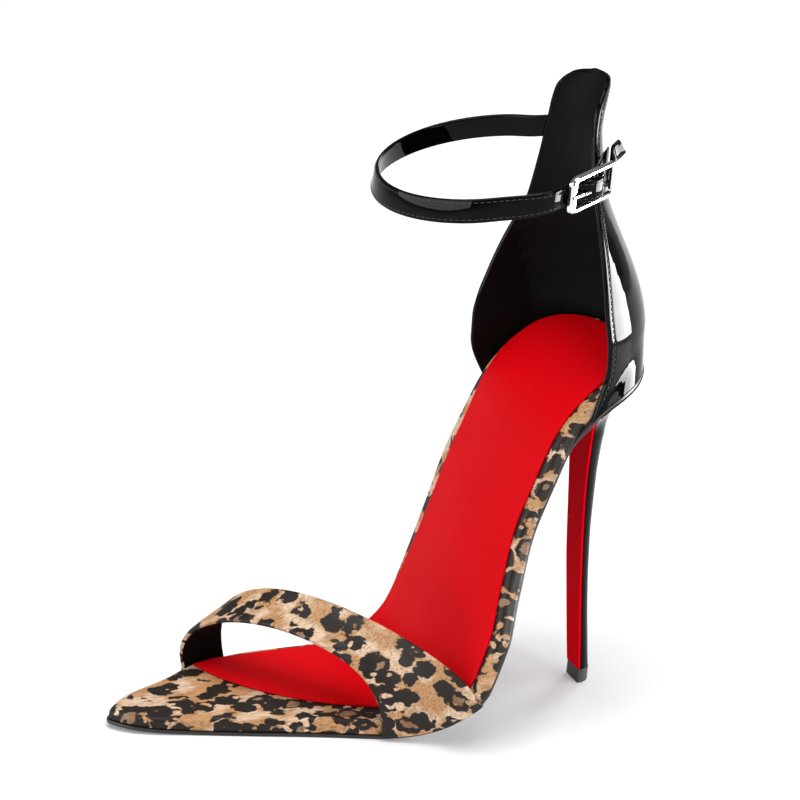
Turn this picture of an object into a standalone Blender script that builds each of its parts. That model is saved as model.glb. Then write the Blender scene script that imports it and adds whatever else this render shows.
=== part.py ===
"""High heel sandal for the left foot: toe strap, pointed sole, wrapped footbed, closed counter with a tall tab,
ankle strap with a buckle on the outer side, and a stiletto heel with a red breast.

Metres, +Z up. The toe points to -Y, the outer (buckle) side is +X, and the origin is on the floor at the
middle of the heel's tip.
"""

from math import atan, cos, pi, radians, sin

import bmesh
import bpy
import numpy as np

MM = 0.001
GAP = 0.3 * MM  # between pieces that are glued, nailed or sewn together

# Sole: lengths run along its underside from the toe's point to the back of the seat.
SOLE_LENGTH = 242.5 * MM
BALL_WIDTH = 75.0 * MM
HEEL_HEIGHT = 119.1 * MM  # underside at the back of the seat
SEAT_BACK = 6.6 * MM  # back of the seat behind the middle of the heel's tip
TOE_SPRING = radians(5.0)
SEAT_PITCH = radians(17.9)
TOE_ROUND = 7.0 * MM
SEAT_ROUND = 19.0 * MM
OUTSOLE_THICKNESS = 1.2 * MM
OUTSOLE_MARGIN = 0.5 * MM
FOOTBED_THICKNESS = 4.9 * MM
FOOTBED_EDGE = 1.8 * MM  # rounding of the footbed's top edge
TOE_THINNING = 1.7 * MM
SOCK_THICKNESS = 0.9 * MM
SOCK_MARGIN = 2.8 * MM
WAIST_RECESS = 1.5 * MM  # how far the outsole lies further in at the waist than at the tread
STATION_STEP = 5.5 * MM
# Shares of the sole's length.
SPRING_END = 0.161
SHANK_START = 0.308
SHANK_REACH = 0.2165
SEAT_START = 0.789
SEAT_REACH = 0.1815
THIN_END = 0.186

# Heel.
TIP_HEIGHT = 5.0 * MM
BREAST_THICKNESS = 0.8 * MM
HEEL_WIDTH = 8.4 * MM  # across the slim end
HEEL_DEPTH = 5.3 * MM  # from front to back at the slim end
BREAST_LINE = 0.884  # where the heel's front meets the sole, as a share of the sole's length

# Counter.
COUNTER_HEIGHT = 86.9 * MM  # tab's top above the seat
COUNTER_WALL = 1.8 * MM
COUNTER_CLEARANCE = 0.8 * MM  # between its inside and the footbed's edge

# Toe strap.
TOE_STRAP_WALL = 1.6 * MM

FOOTBED_LENGTH = SOLE_LENGTH - COUNTER_WALL - COUNTER_CLEARANCE  # the counter ends flush with the sole

# Ankle strap and buckle.
LOOP_WIDTH = 68.8 * MM
LOOP_LENGTH = 69.4 * MM
LOOP_SLOPE = 0.19  # rise of the loop towards the counter
LOOP_ACROSS = 0.62  # the loop's middle from the strap's start, as shares of its half sizes
LOOP_AHEAD = 0.853
BUCKLE_ACROSS = 1.067  # the front bar from the loop's middle, as shares of its half sizes
BUCKLE_BACK = 0.34
BUCKLE_TURN = radians(20.5)
STRAP_LEAN = radians(8)
STRAP_TIP = ((3.9 * MM, 0.2 * MM, 1.1 * MM), (3.2 * MM, 2.6 * MM, 2.4 * MM))  # its free end, off the counter
STRAP_HEIGHT = 7.5 * MM
STRAP_IN_BUCKLE = 6.8 * MM  # its height where it narrows to pass through the frame
STRAP_THICKNESS = 1.4 * MM
STRAP_AT = 0.735  # the strap's middle on the counter, as a share of the counter's height
BUCKLE_LENGTH = 17.1 * MM  # between the middles of its outer bars
BUCKLE_BAR = 0.95 * MM  # radius of the frame's bars
BUCKLE_HEIGHT = STRAP_IN_BUCKLE + 4 * GAP + 2 * BUCKLE_BAR  # between the middles of its top and bottom
CENTRE_BAR = 0.8 * MM
CENTRE_BAR_INSET = 1.2 * MM
PRONG_RADIUS = 0.5 * MM
CARRIER_HEIGHT = 6.2 * MM
CARRIER_THICKNESS = 0.7 * MM


def table(columns, *rows):
    """A table's columns by name, given its rows."""
    return dict(zip(columns.split(), np.array(rows, dtype=float).T))


# Half widths on each side of the sole's middle line, as shares of the ball's width.
OUTLINE = table(
    "share lateral medial",
    (0.000, 0.020, 0.067),
    (0.050, 0.087, 0.187),
    (0.100, 0.131, 0.267),
    (0.170, 0.194, 0.387),
    (0.260, 0.274, 0.434),
    (0.359, 0.380, 0.440),
    (0.441, 0.514, 0.414),
    (0.500, 0.600, 0.387),
    (0.561, 0.586, 0.398),
    (0.631, 0.494, 0.420),
    (0.722, 0.400, 0.453),
    (0.808, 0.394, 0.434),
    (0.900, 0.380, 0.407),
    (1.000, 0.346, 0.387),
)
# The sock lining's own front, before it follows the outline: a point near the inner side.
SOCK_FRONT = table(
    "share lateral medial",
    (0.153, -0.335, 0.335),
    (0.158, -0.290, 0.345),
    (0.181, -0.148, 0.358),
    (0.237, 0.041, 0.375),
    (0.283, 0.143, 0.382),
    (0.352, 0.250, 0.388),
    (0.441, 0.427, 0.390),
    (0.500, 0.600, 0.390),
)
# How much further in the sock lining's inner edge lies at the waist, as a share of the ball's width.
SOCK_WAIST = table(
    "share extra",
    (0.500, 0.000),
    (0.600, 0.030),
    (0.722, 0.046),
    (0.790, 0.034),
    (0.870, 0.000),
)
# Heel sections by height: shares of the heel's height, and of the slim end's width and depth.
HEEL = table(
    "share width front back",
    (0.045, 1.02, -0.60, 0.40),
    (0.125, 1.12, -0.79, 0.15),
    (0.250, 1.19, -1.09, -0.19),
    (0.380, 1.29, -1.38, -0.45),
    (0.500, 1.33, -1.58, -0.58),
    (0.630, 1.48, -1.75, -0.58),
    (0.710, 1.76, -1.83, -0.53),
    (0.772, 2.21, -1.98, -0.45),
)
# Counter sections above the seat. Heights are shares of the counter's height, and widths and distances behind
# the footbed's back end are shares of the seat's half width. rounding is how far the back's curve reaches.
COUNTER = table(
    "share lateral_drop medial_drop width back lateral medial rounding",
    (0.059, 0.125, 0.250, 1.033, 0.140, -0.665, -1.347, 0.76),
    (0.151, 0.091, 0.193, 1.057, 0.089, -0.685, -1.347, 0.78),
    (0.266, 0.068, 0.136, 1.050, -0.032, -0.760, -1.225, 0.81),
    (0.381, 0.045, 0.080, 0.983, -0.199, -0.800, -1.063, 0.81),
    (0.496, 0.023, 0.034, 0.867, -0.375, -0.830, -0.903, 0.61),
    (0.611, 0.000, 0.000, 0.742, -0.517, -0.862, -0.880, 0.51),
    (0.727, 0.000, 0.000, 0.634, -0.571, -0.875, -0.886, 0.51),
    (0.830, 0.000, 0.000, 0.556, -0.609, -0.868, -0.886, 0.51),
    (0.911, 0.000, 0.000, 0.508, -0.575, -0.838, -0.860, 0.51),
    (0.962, 0.000, 0.000, 0.420, -0.545, -0.755, -0.765, 0.51),
    (0.991, 0.000, 0.000, 0.300, -0.530, -0.650, -0.655, 0.51),
    (1.000, 0.000, 0.000, 0.185, -0.525, -0.580, -0.580, 0.51),
)
COUNTER_ROWS = (0.059, 0.10, 0.151, 0.205, 0.266, 0.32, 0.381, 0.44, 0.496, 0.553, 0.611, 0.669, 0.727, 0.78,
                0.83, 0.873, 0.911, 0.94, 0.962, 0.98, 1.0)
# The toe strap's two edges. Bases are shares of the sole's length, pulls are the handles of each arch
# as shares of the ball's width.
TOE_STRAP = table(
    "share lateral medial lateral_forward lateral_rise medial_forward medial_rise",
    (0.0, 0.338, 0.138, 0.071, 0.516, 0.132, 0.420),
    (1.0, 0.480, 0.206, 0.008, 0.175, 0.187, 0.775),
)
ARCH_LEAN = 0.027  # how far each arch leans out over the sole's edge, as a share of the ball's width
# Where the counter starts along the sole, below and at the footbed's top, as shares of the sole's length.
WING_FRONTS = {"outer": (0.872, 0.906), "inner": (0.818, 0.826)}


def smooth(value):
    value = np.clip(value, 0.0, 1.0)
    return value * value * (3.0 - 2.0 * value)


def read(rows, column, at):
    """A column's value at places along the table's shares, by a smooth curve that never overshoots."""
    share = rows["share"]
    value = rows[column]
    step = np.diff(share)
    rate = np.diff(value) / step
    slope = np.concatenate([rate[:1], np.zeros(len(rate) - 1), rate[-1:]])
    same_way = rate[:-1] * rate[1:] > 0
    slope[1:-1][same_way] = 2 * rate[:-1][same_way] * rate[1:][same_way] / (rate[:-1] + rate[1:])[same_way]
    at = np.clip(at, share[0], share[-1])
    i = np.clip(np.searchsorted(share, at) - 1, 0, len(step) - 1)
    t = (at - share[i]) / step[i]
    rise = smooth(t)
    return (value[i] * (1 - rise) + value[i + 1] * rise
            + step[i] * t * (1 - t) * (slope[i] * (1 - t) - slope[i + 1] * t))


def spline(points, count):
    """Evenly spaced points on a smooth curve through the given ones."""
    points = np.array(points, dtype=float)
    knots = np.concatenate([[0.0], np.cumsum(np.linalg.norm(np.diff(points, axis=0), axis=1))])
    pull = np.gradient(points, knots, axis=0)
    t = np.linspace(0, knots[-1], 12 * len(points))
    i = np.clip(np.searchsorted(knots, t) - 1, 0, len(knots) - 2)
    step = (knots[i + 1] - knots[i])[:, None]
    u = (t[:, None] - knots[i][:, None]) / step
    blend = smooth(u)
    curve = (points[i] * (1 - blend) + points[i + 1] * blend
             + step * u * (1 - u) * (pull[i] * (1 - u) - pull[i + 1] * u))
    return along(curve, np.linspace(0, 1, count))


def along(points, shares):
    """Points at shares of a polyline's length."""
    run = np.concatenate([[0.0], np.cumsum(np.linalg.norm(np.diff(points, axis=0), axis=1))])
    return np.stack([np.interp(shares * run[-1], run, column) for column in points.T], axis=-1)


def slope_at(share, shank):
    """The underside's slope: toe spring, flat tread, steep shank, then the gentler seat."""
    spring = -TOE_SPRING * (1 - smooth(share / SPRING_END))
    rise = shank * smooth((share - SHANK_START) / SHANK_REACH)
    seat = (shank - SEAT_PITCH) * smooth((share - SEAT_START) / SEAT_REACH)
    return spring + rise - seat


def profile(shank):
    """Length, slope, Y and Z along the underside for a shank of that slope."""
    share = np.linspace(0, 1, 486)
    slope = slope_at(share, shank)
    step = SOLE_LENGTH * share[1]
    y = np.concatenate([[0.0], np.cumsum((np.cos(slope[1:]) + np.cos(slope[:-1])) / 2 * step)])
    z = np.concatenate([[0.0], np.cumsum((np.sin(slope[1:]) + np.sin(slope[:-1])) / 2 * step)])
    return share * SOLE_LENGTH, slope, y - y[-1] + SEAT_BACK, z - z.min()


def solved_profile():
    """The profile whose seat is at the heel's height."""
    low, high = radians(20), radians(88)
    for _ in range(40):
        middle = (low + high) / 2
        if profile(middle)[3][-1] < HEEL_HEIGHT:
            low = middle
        else:
            high = middle
    return profile(middle)


LENGTHS, SLOPES, ALONG, RISE = solved_profile()


def place(length, across, up):
    """Points at a length along the underside, a distance across it and a height above it."""
    length, across, up = np.broadcast_arrays(*(np.asarray(v, dtype=float) for v in (length, across, up)))
    past = length - np.clip(length, 0, SOLE_LENGTH)
    slope = np.interp(length, LENGTHS, SLOPES)
    y = np.interp(length, LENGTHS, ALONG) + past * np.cos(slope) - up * np.sin(slope)
    z = np.interp(length, LENGTHS, RISE) + past * np.sin(slope) + up * np.cos(slope)
    return np.stack([across, y, z], axis=-1)


def rounding(distance, reach):
    """How far a rounded end has opened at a distance from it."""
    return np.sqrt(1 - (1 - np.clip(distance / reach, 0, 1)) ** 2)


def sides(length):
    """X of the outline's outer and inner side."""
    outer = read(OUTLINE, "lateral", length / SOLE_LENGTH) * BALL_WIDTH
    inner = -read(OUTLINE, "medial", length / SOLE_LENGTH) * BALL_WIDTH
    half = (outer - inner) / 2 * rounding(length, TOE_ROUND) * rounding(FOOTBED_LENGTH - length, SEAT_ROUND)
    return (outer + inner) / 2 + half, (outer + inner) / 2 - half


def stations(start, end, start_round, end_round, step):
    """Lengths from one rounded end to the other, closer together where the ends turn."""
    turn = 1 - np.cos(np.linspace(0, pi / 2, 6))
    count = max(2, round((end - start - start_round - end_round) / step))
    middle = np.linspace(start + start_round, end - end_round, count + 1)
    return np.concatenate([start + start_round * turn[:-1], middle, end - end_round * turn[-2::-1]])


STATIONS = stations(0, FOOTBED_LENGTH, TOE_ROUND, SEAT_ROUND, STATION_STEP)


def loop_of(length, outer, inner):
    """A closed loop (length, across): out along the outer side, back along the inner side."""
    return np.stack([np.concatenate([length, length[-2:0:-1]]), np.concatenate([outer, inner[-2:0:-1]])], axis=-1)


def offset(loop, out):
    """A closed loop moved outwards, by one distance or one for each point."""
    ahead = np.roll(loop, -1, axis=0) - loop
    ahead /= np.linalg.norm(ahead, axis=1)[:, None]
    tangent = ahead + np.roll(ahead, 1, axis=0)
    tangent /= np.linalg.norm(tangent, axis=1)[:, None]
    outward = np.stack([-tangent[:, 1], tangent[:, 0]], axis=-1)
    return loop + outward * np.broadcast_to(out, len(loop))[:, None]


RIM = loop_of(STATIONS, *sides(STATIONS))


def rim_side(side, out):
    """One side of the sole's outline moved outwards, toe to seat."""
    rim = offset(RIM, out)
    count = len(STATIONS)
    return rim[:count] if side == "outer" else np.concatenate([rim[:1], rim[:count - 2:-1]])


def across_at(side, out, length):
    rim = rim_side(side, out)
    return np.interp(length, rim[:, 0], rim[:, 1])


def new_object(name, mesh, look):
    """An object in the part's collection, its faces pointing out, with its own material."""
    work = bmesh.new()
    work.from_mesh(mesh)
    bmesh.ops.recalc_face_normals(work, faces=work.faces)
    if work.calc_volume(signed=True) < 0:
        bmesh.ops.reverse_faces(work, faces=work.faces)
    work.to_mesh(mesh)
    work.free()
    mesh.shade_smooth()
    mesh.set_sharp_from_angle(angle=radians(40))
    piece = bpy.data.objects.new(name, mesh)
    mesh.materials.append(look)
    bpy.data.collections["high_heel_sandal"].objects.link(piece)
    return piece


def mesh_of(name, points, faces):
    mesh = bpy.data.meshes.new(name)
    mesh.from_pydata([tuple(p) for p in points], [], faces)
    return mesh


def loft(name, rings, look):
    """A closed solid through rings of as many points each, closed straight across at both ends."""
    count = len(rings[0])
    faces = []
    for first in range(0, (len(rings) - 1) * count, count):
        for i in range(count):
            j = (i + 1) % count
            faces.append((first + i, first + j, first + count + j, first + count + i))
    for first in (0, (len(rings) - 1) * count):
        for i in range(count // 2):
            corners = (i, i + 1, (count - i - 1) % count, (count - i) % count)
            faces.append([first + c for c in dict.fromkeys(corners)])
    return new_object(name, mesh_of(name, np.concatenate(rings), faces), look)


def shell(name, rows, thickness, look):
    """A wall inwards from an open grid of points whose rows run from the outer side to the inner side."""
    columns = len(rows[0])
    faces = []
    for first in range(0, (len(rows) - 1) * columns, columns):
        for i in range(columns - 1):
            faces.append((first + i, first + i + 1, first + columns + i + 1, first + columns + i))
    mesh = mesh_of(name, np.concatenate(rows), faces)
    mesh.shade_smooth()
    mesh.materials.append(look)
    piece = bpy.data.objects.new(name, mesh)
    bpy.data.collections["high_heel_sandal"].objects.link(piece)
    wall = piece.modifiers.new("wall", "SOLIDIFY")
    wall.thickness = thickness
    wall.offset = -1
    return piece


def band(name, spine, height, thickness, lean, look):
    """A flat strap along its middle line: a bevelled strip standing on edge, leaning inwards at its top."""
    heights = np.broadcast_to(height, len(spine))
    leans = np.broadcast_to(lean, len(spine))
    run = np.gradient(spine, axis=0)
    rings = []
    for point, tangent, tall, slant in zip(spine, run, heights, leans):
        outward = np.array([tangent[1], -tangent[0], 0.0]) / np.hypot(tangent[0], tangent[1])
        tangent = tangent / np.linalg.norm(tangent)
        upward = np.cross(outward, tangent) if np.cross(outward, tangent)[2] > 0 else np.cross(tangent, outward)
        outward, upward = (outward * cos(slant) + upward * sin(slant), upward * cos(slant) - outward * sin(slant))
        bevel = min(0.25 * thickness, 0.2 * tall)
        half, side = tall / 2, thickness / 2
        corners = ((side, bevel - half), (side, half - bevel), (side - bevel, half), (bevel - side, half),
                   (-side, half - bevel), (-side, bevel - half), (bevel - side, -half), (side - bevel, -half))
        rings.append(np.array([point + a * outward + b * upward for a, b in corners]))
    return loft(name, rings, look)


def tube(name, points, radius, closed, look):
    """A round bar along points, as a mesh."""
    curve = bpy.data.curves.new(name, "CURVE")
    curve.dimensions = "3D"
    curve.bevel_depth = radius
    curve.bevel_resolution = 3
    curve.use_fill_caps = not closed
    line = curve.splines.new("POLY")
    line.points.add(len(points) - 1)
    for knot, point in zip(line.points, points):
        knot.co = (*point, 1.0)
    line.use_cyclic_u = closed
    guide = bpy.data.objects.new(name + "_line", curve)
    bpy.context.scene.collection.objects.link(guide)
    bpy.context.view_layer.update()
    mesh = bpy.data.meshes.new_from_object(guide.evaluated_get(bpy.context.evaluated_depsgraph_get()))
    bpy.data.objects.remove(guide)
    work = bmesh.new()
    work.from_mesh(mesh)
    bmesh.ops.remove_doubles(work, verts=work.verts, dist=0.01 * MM)
    work.to_mesh(mesh)
    work.free()
    mesh.materials.clear()
    return new_object(name, mesh, look)


def material(name, colour, roughness, metallic=0.0):
    look = bpy.data.materials.new(name)
    look.use_nodes = True
    shader = look.node_tree.nodes["Principled BSDF"]
    shader.inputs["Base Color"].default_value = (*colour, 1.0)
    shader.inputs["Roughness"].default_value = roughness
    shader.inputs["Metallic"].default_value = metallic
    return look


def start():
    """Empties the scene and makes the part's collections."""
    for piece in list(bpy.data.objects):
        bpy.data.objects.remove(piece)
    for name in ("high_heel_sandal", "cutters"):
        bpy.context.scene.collection.children.link(bpy.data.collections.new(name))


def flare():
    """How far the outsole stands out of the footbed: further under the counter."""
    wide = COUNTER_WALL + COUNTER_CLEARANCE - OUTSOLE_MARGIN
    half = len(STATIONS)
    fronts = np.where(np.arange(len(RIM)) < half, WING_FRONTS["outer"][0], WING_FRONTS["inner"][0])
    share = RIM[:, 0] / SOLE_LENGTH
    waist = WAIST_RECESS * smooth((share - 0.42) / 0.1)
    return OUTSOLE_MARGIN - waist + (wide + waist) * smooth((share - fronts + 0.05) / 0.05)


def make_outsole():
    under = flare()
    bevel = 0.25 * OUTSOLE_THICKNESS
    rings = []
    for up, out in ((0.0, under - bevel), (bevel, under), (OUTSOLE_THICKNESS, under)):
        rim = offset(RIM, out)
        rings.append(place(rim[:, 0], rim[:, 1], up))
    loft("outsole", rings, material("outsole", (0.012, 0.011, 0.011), 0.45))


FOOTBED_UP = OUTSOLE_THICKNESS + GAP
FOOTBED_TOP = FOOTBED_UP + FOOTBED_THICKNESS


def thinned(length, up):
    """A height above the underside, lower near the toe, where the footbed is thinner."""
    share = np.maximum(up - FOOTBED_UP, 0) / FOOTBED_THICKNESS
    return up - TOE_THINNING * share * (1 - smooth(length / SOLE_LENGTH / THIN_END))


def make_footbed():
    rings = []
    for up, out in ((0.0, -0.06), (0.05, 0.0), (0.62, 0.0), (0.84, -0.2), (0.95, -0.55), (1.0, -1.0)):
        rim = offset(RIM, out * FOOTBED_EDGE)
        rings.append(place(rim[:, 0], rim[:, 1], thinned(rim[:, 0], FOOTBED_UP + up * FOOTBED_THICKNESS)))
    loft("footbed", rings, material("footbed", (0.38, 0.2, 0.09), 0.6))


def make_sock_lining():
    """The lining's front comes to a point near the inner side; behind it, it follows the outline."""
    start = SOCK_FRONT["share"][0] * SOLE_LENGTH
    end = FOOTBED_LENGTH - SOCK_MARGIN
    length = stations(start, end, 0.02 * SOLE_LENGTH, SEAT_ROUND - SOCK_MARGIN, STATION_STEP)
    share = length / SOLE_LENGTH
    outer = across_at("outer", -SOCK_MARGIN, length)
    inner = across_at("inner", -SOCK_MARGIN, length) + read(SOCK_WAIST, "extra", share) * BALL_WIDTH
    ahead = share < SOCK_FRONT["share"][-1]
    outer[ahead] = np.minimum(outer, read(SOCK_FRONT, "lateral", share) * BALL_WIDTH)[ahead]
    inner[ahead] = np.maximum(inner, -read(SOCK_FRONT, "medial", share) * BALL_WIDTH)[ahead]
    outer[-1] = inner[-1] = (outer[-2] + inner[-2]) / 2
    loop = loop_of(length, outer, inner)
    rings = []
    for up, out in ((0.0, 0.0), (0.7, 0.0), (1.0, -0.35)):
        rim = offset(loop, out * SOCK_THICKNESS * smooth((loop[:, 0] - start) / (6 * MM)))
        height = thinned(rim[:, 0], FOOTBED_TOP) + GAP + up * SOCK_THICKNESS
        rings.append(place(rim[:, 0], rim[:, 1], height))
    loft("sock_lining", rings, material("sock_lining", (0.75, 0.0, 0.005), 0.45))


def make_toe_strap():
    """An arch over the toes from one edge of the sole to the other, its front lower than its rear."""
    out = TOE_STRAP_WALL + GAP
    low = FOOTBED_UP
    high = FOOTBED_UP + 0.8 * FOOTBED_THICKNESS
    rows = []
    for share in np.linspace(0, 1, 9):
        values = {name: read(TOE_STRAP, name, share) for name in TOE_STRAP}
        ends = []
        for side, column in (("outer", "lateral"), ("inner", "medial")):
            length = values[column] * SOLE_LENGTH
            across = across_at(side, out, length)
            ends.append([place(length, across, up) for up in (low, (low + high) / 2, high)])
        outer, inner = ends
        pull = np.array([ARCH_LEAN, -values["lateral_forward"], values["lateral_rise"]]) * BALL_WIDTH
        push = np.array([-ARCH_LEAN, -values["medial_forward"], values["medial_rise"]]) * BALL_WIDTH
        t = np.linspace(0, 1, 25)[:, None]
        arch = ((1 - t) ** 3 * outer[2] + 3 * (1 - t) ** 2 * t * (outer[2] + pull)
                + 3 * (1 - t) * t * t * (inner[2] + push) + t ** 3 * inner[2])
        arch = along(arch, np.linspace(0, 1, 25))
        rows.append(np.concatenate([outer[:2], arch, inner[1::-1]]))
    shell("toe_strap", rows[::-1], TOE_STRAP_WALL, material("toe_strap", (0.38, 0.2, 0.09), 0.6))


SEAT_HALF = (read(OUTLINE, "lateral", 0.9) + read(OUTLINE, "medial", 0.9)) / 2 * BALL_WIDTH
SEAT_MIDDLE = (read(OUTLINE, "lateral", 0.9) - read(OUTLINE, "medial", 0.9)) / 2 * BALL_WIDTH
SEAT_TOP = place(FOOTBED_LENGTH, 0.0, FOOTBED_TOP)
SEAT_REAR = SEAT_TOP[1]


def half_section(share, side):
    """One side of the counter's outer face at a share of its height, in plan: back's middle to front edge."""
    width = read(COUNTER, "width", share) * SEAT_HALF
    back = SEAT_REAR + read(COUNTER, "back", share) * SEAT_HALF
    front = SEAT_REAR + read(COUNTER, "lateral" if side == "outer" else "medial", share) * SEAT_HALF
    depth = min(read(COUNTER, "rounding", share) * SEAT_HALF, back - front)
    angle = min(pi / 2, 2 * atan(depth / width))
    turn = np.linspace(0, angle, 25)
    x = width * np.sin(turn) / sin(angle)
    y = back - depth * (1 - np.cos(turn)) / (1 - cos(angle))
    if back - depth - front > 0.1 * MM:
        x = np.append(x, width)
        y = np.append(y, front)
    sign = 1 if side == "outer" else -1
    return np.stack([SEAT_MIDDLE + sign * x, y], axis=-1)


def counter_level(share, columns):
    """A row of the counter's outer face at a share of its height, from the outer front round to the inner one."""
    halves = []
    for side, drop in (("outer", "lateral_drop"), ("inner", "medial_drop")):
        part = np.linspace(0, 1, columns)
        plan = along(half_section(share, side), part)
        fall = read(COUNTER, drop, share) * part ** 2 * COUNTER_HEIGHT
        height = SEAT_TOP[2] + share * COUNTER_HEIGHT - fall
        halves.append(np.column_stack([plan, height]))
    return np.concatenate([halves[0][::-1], halves[1][1:]])


def sole_level(row, columns):
    """A row of the counter along the sole's edge."""
    halves = []
    for side in ("outer", "inner"):
        front = WING_FRONTS[side][row]
        rim = rim_side(side, COUNTER_WALL + COUNTER_CLEARANCE)
        length = np.append(rim[rim[:, 0] > front * SOLE_LENGTH + 1 * MM][:, 0], 0)
        length = np.concatenate([[front * SOLE_LENGTH], length[:-1]])
        across = np.interp(length, rim[:, 0], rim[:, 1])
        height = FOOTBED_UP if row == 0 else FOOTBED_TOP + GAP
        edge = place(length, across, height)
        halves.append(along(edge[::-1], np.linspace(0, 1, columns)))
    return np.concatenate([halves[0][::-1], halves[1][1:]])


def make_counter():
    columns = 15
    rows = [sole_level(0, columns), sole_level(1, columns)]
    rows += [counter_level(share, columns) for share in COUNTER_ROWS]
    shell("counter", rows, COUNTER_WALL, material("counter", (0.006, 0.006, 0.007), 0.06))


def heel_section(width, front, back, count):
    """A level section (x, y), straight across its front and round at its back, from the back's middle."""
    turn = np.concatenate([np.linspace(pi / 2, 0, count + 1), np.linspace(pi, pi / 2, count + 1)[:-1]])
    return np.stack([width * np.cos(turn), front + (back - front) * np.sin(turn)], axis=-1)


def heel_rings(setback, count):
    """The heel's sections from the tip's top to the sole, its front moved back by setback."""
    rings = []
    for share in HEEL["share"]:
        width = read(HEEL, "width", share) * HEEL_WIDTH / 2
        front = read(HEEL, "front", share) * HEEL_DEPTH + setback
        back = read(HEEL, "back", share) * HEEL_DEPTH
        plan = heel_section(width, front, back, count)
        height = TIP_HEIGHT + GAP if share == HEEL["share"][0] else share * HEEL_HEIGHT
        rings.append(np.column_stack([plan, np.full(len(plan), height)]))
    start = BREAST_LINE * SOLE_LENGTH + setback
    edge = []
    for side in ("outer", "inner"):
        rim = rim_side(side, COUNTER_WALL + COUNTER_CLEARANCE)
        length = np.concatenate([[start], rim[rim[:, 0] > start + 1 * MM][:, 0]])
        half = np.stack([length, np.interp(length, rim[:, 0], rim[:, 1])], axis=-1)
        edge.append(along(half, np.linspace(0, 1, count + 1)))
    outer, inner = edge
    loop = np.concatenate([outer[::-1], inner[:-1]])
    seat = place(loop[:, 0], loop[:, 1], -GAP)
    slim = rings[-1]
    for step in (0.22, 0.42, 0.6, 0.76, 0.9, 1.0):
        plan = slim[:, :2] + (seat[:, :2] - slim[:, :2]) * step ** 1.7
        height = slim[:, 2] + (seat[:, 2] - slim[:, 2]) * step
        rings.append(np.column_stack([plan, height]))
    return rings


def make_heel():
    count = 9
    black = material("heel", (0.006, 0.006, 0.007), 0.06)
    loft("heel", heel_rings(BREAST_THICKNESS + GAP, count), black)
    plate = []
    for near, far in zip(heel_rings(0.0, count), heel_rings(BREAST_THICKNESS, count)):
        plate.append(np.array([near[count], near[count + 1], far[count + 1], far[count]]))
    loft("heel_breast", plate, material("heel_breast", (0.75, 0.0, 0.005), 0.3))


def make_heel_tip():
    rings = []
    for height, inset in ((0.0, 0.3 * MM), (0.3 * MM, 0.0), (TIP_HEIGHT, 0.0)):
        plan = heel_section(0.5 * HEEL_WIDTH - inset, -0.55 * HEEL_DEPTH + inset, 0.45 * HEEL_DEPTH - inset, 8)
        rings.append(np.column_stack([plan, np.full(len(plan), height)]))
    loft("heel_tip", rings, material("heel_tip", (0.01, 0.01, 0.01), 0.4))


class Collar:
    """Where the ankle strap meets the counter, and the loop and the buckle that follow from it."""

    def __init__(self):
        self.height = SEAT_TOP[2] + STRAP_AT * COUNTER_HEIGHT
        self.inner = self.line("inner")
        self.outer = self.line("outer")
        across, deep = LOOP_WIDTH / 2, LOOP_LENGTH / 2
        edge = self.inner[-1]
        self.middle = edge + np.array([LOOP_ACROSS * across, -LOOP_AHEAD * deep])
        self.reach = np.array([across, deep])
        self.bar = self.middle + np.array([BUCKLE_ACROSS * across, BUCKLE_BACK * deep])
        self.forward = np.array([-sin(BUCKLE_TURN), cos(BUCKLE_TURN)])
        self.outward = np.array([cos(BUCKLE_TURN), sin(BUCKLE_TURN)])

    def line(self, side):
        """The strap's middle line on the counter's outer face in plan, back to front edge."""
        plan = half_section(STRAP_AT, side)
        run = np.gradient(plan, axis=0)
        out = np.stack([-run[:, 1], run[:, 0]], axis=-1) / np.linalg.norm(run, axis=1)[:, None]
        if side == "outer":
            out = -out
        return plan + np.where(out[:, :1] * (1 if side == "outer" else -1) < 0, -1, 1) * out * (
            3 * GAP + STRAP_THICKNESS / 2)

    def lift(self, plan):
        """A point of the loop at its height: the loop rises towards the counter."""
        return np.array([*plan, self.height + LOOP_SLOPE * (plan[1] - self.inner[-1][1])])

    def at_buckle(self, back, out, up=0.0):
        """A point of the buckle: behind its front bar, outwards of its plane and above its middle."""
        return self.lift(self.bar + back * self.forward + out * self.outward) + np.array([0, 0, up])


def strap_outs():
    """How far the strap's middle lies out of the buckle's plane under the outer bars and over the centre bar."""
    under = -(BUCKLE_BAR + 2 * GAP + STRAP_THICKNESS / 2)
    fold = CENTRE_BAR + GAP + CARRIER_THICKNESS
    over = -CENTRE_BAR_INSET + fold + 2 * GAP + STRAP_THICKNESS / 2
    return under, over


def make_ankle_strap(collar):
    under, over = strap_outs()
    points = [collar.lift(plan) for plan in along(collar.inner, np.array([0.45, 0.65, 0.85]))]
    for turn in np.radians(np.arange(-48, 176, 14)):
        plan = collar.middle + collar.reach * np.array([-cos(turn), -sin(turn)])
        points.append(collar.lift(plan))
    middle = BUCKLE_LENGTH / 2
    bend = 1.2 * MM
    for back, out in ((-6 * MM, under), (-bend, under), (bend, under), (middle - bend, over),
                      (middle + bend, over), (BUCKLE_LENGTH - bend, under), (BUCKLE_LENGTH + bend, under)):
        points.append(collar.at_buckle(back, out))
    tip = collar.outer[14]
    for across, back, up in STRAP_TIP:
        points.append(collar.lift(tip + np.array([across, back])) + np.array([0, 0, up]))
    count = 110
    spine = spline(points, count)
    share = np.linspace(0, 1, count)
    narrow = smooth((share - 0.72) / 0.06)
    height = STRAP_HEIGHT + (STRAP_IN_BUCKLE - STRAP_HEIGHT) * narrow
    height = height * (1 - 0.15 * smooth((share - 0.965) / 0.035))
    lean = STRAP_LEAN * (2 - smooth(share / 0.12) - smooth((share - 0.6) / 0.15))
    look = material("ankle_strap", (0.006, 0.006, 0.007), 0.1)
    band("ankle_strap", spine, height, STRAP_THICKNESS, lean, look)


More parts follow.
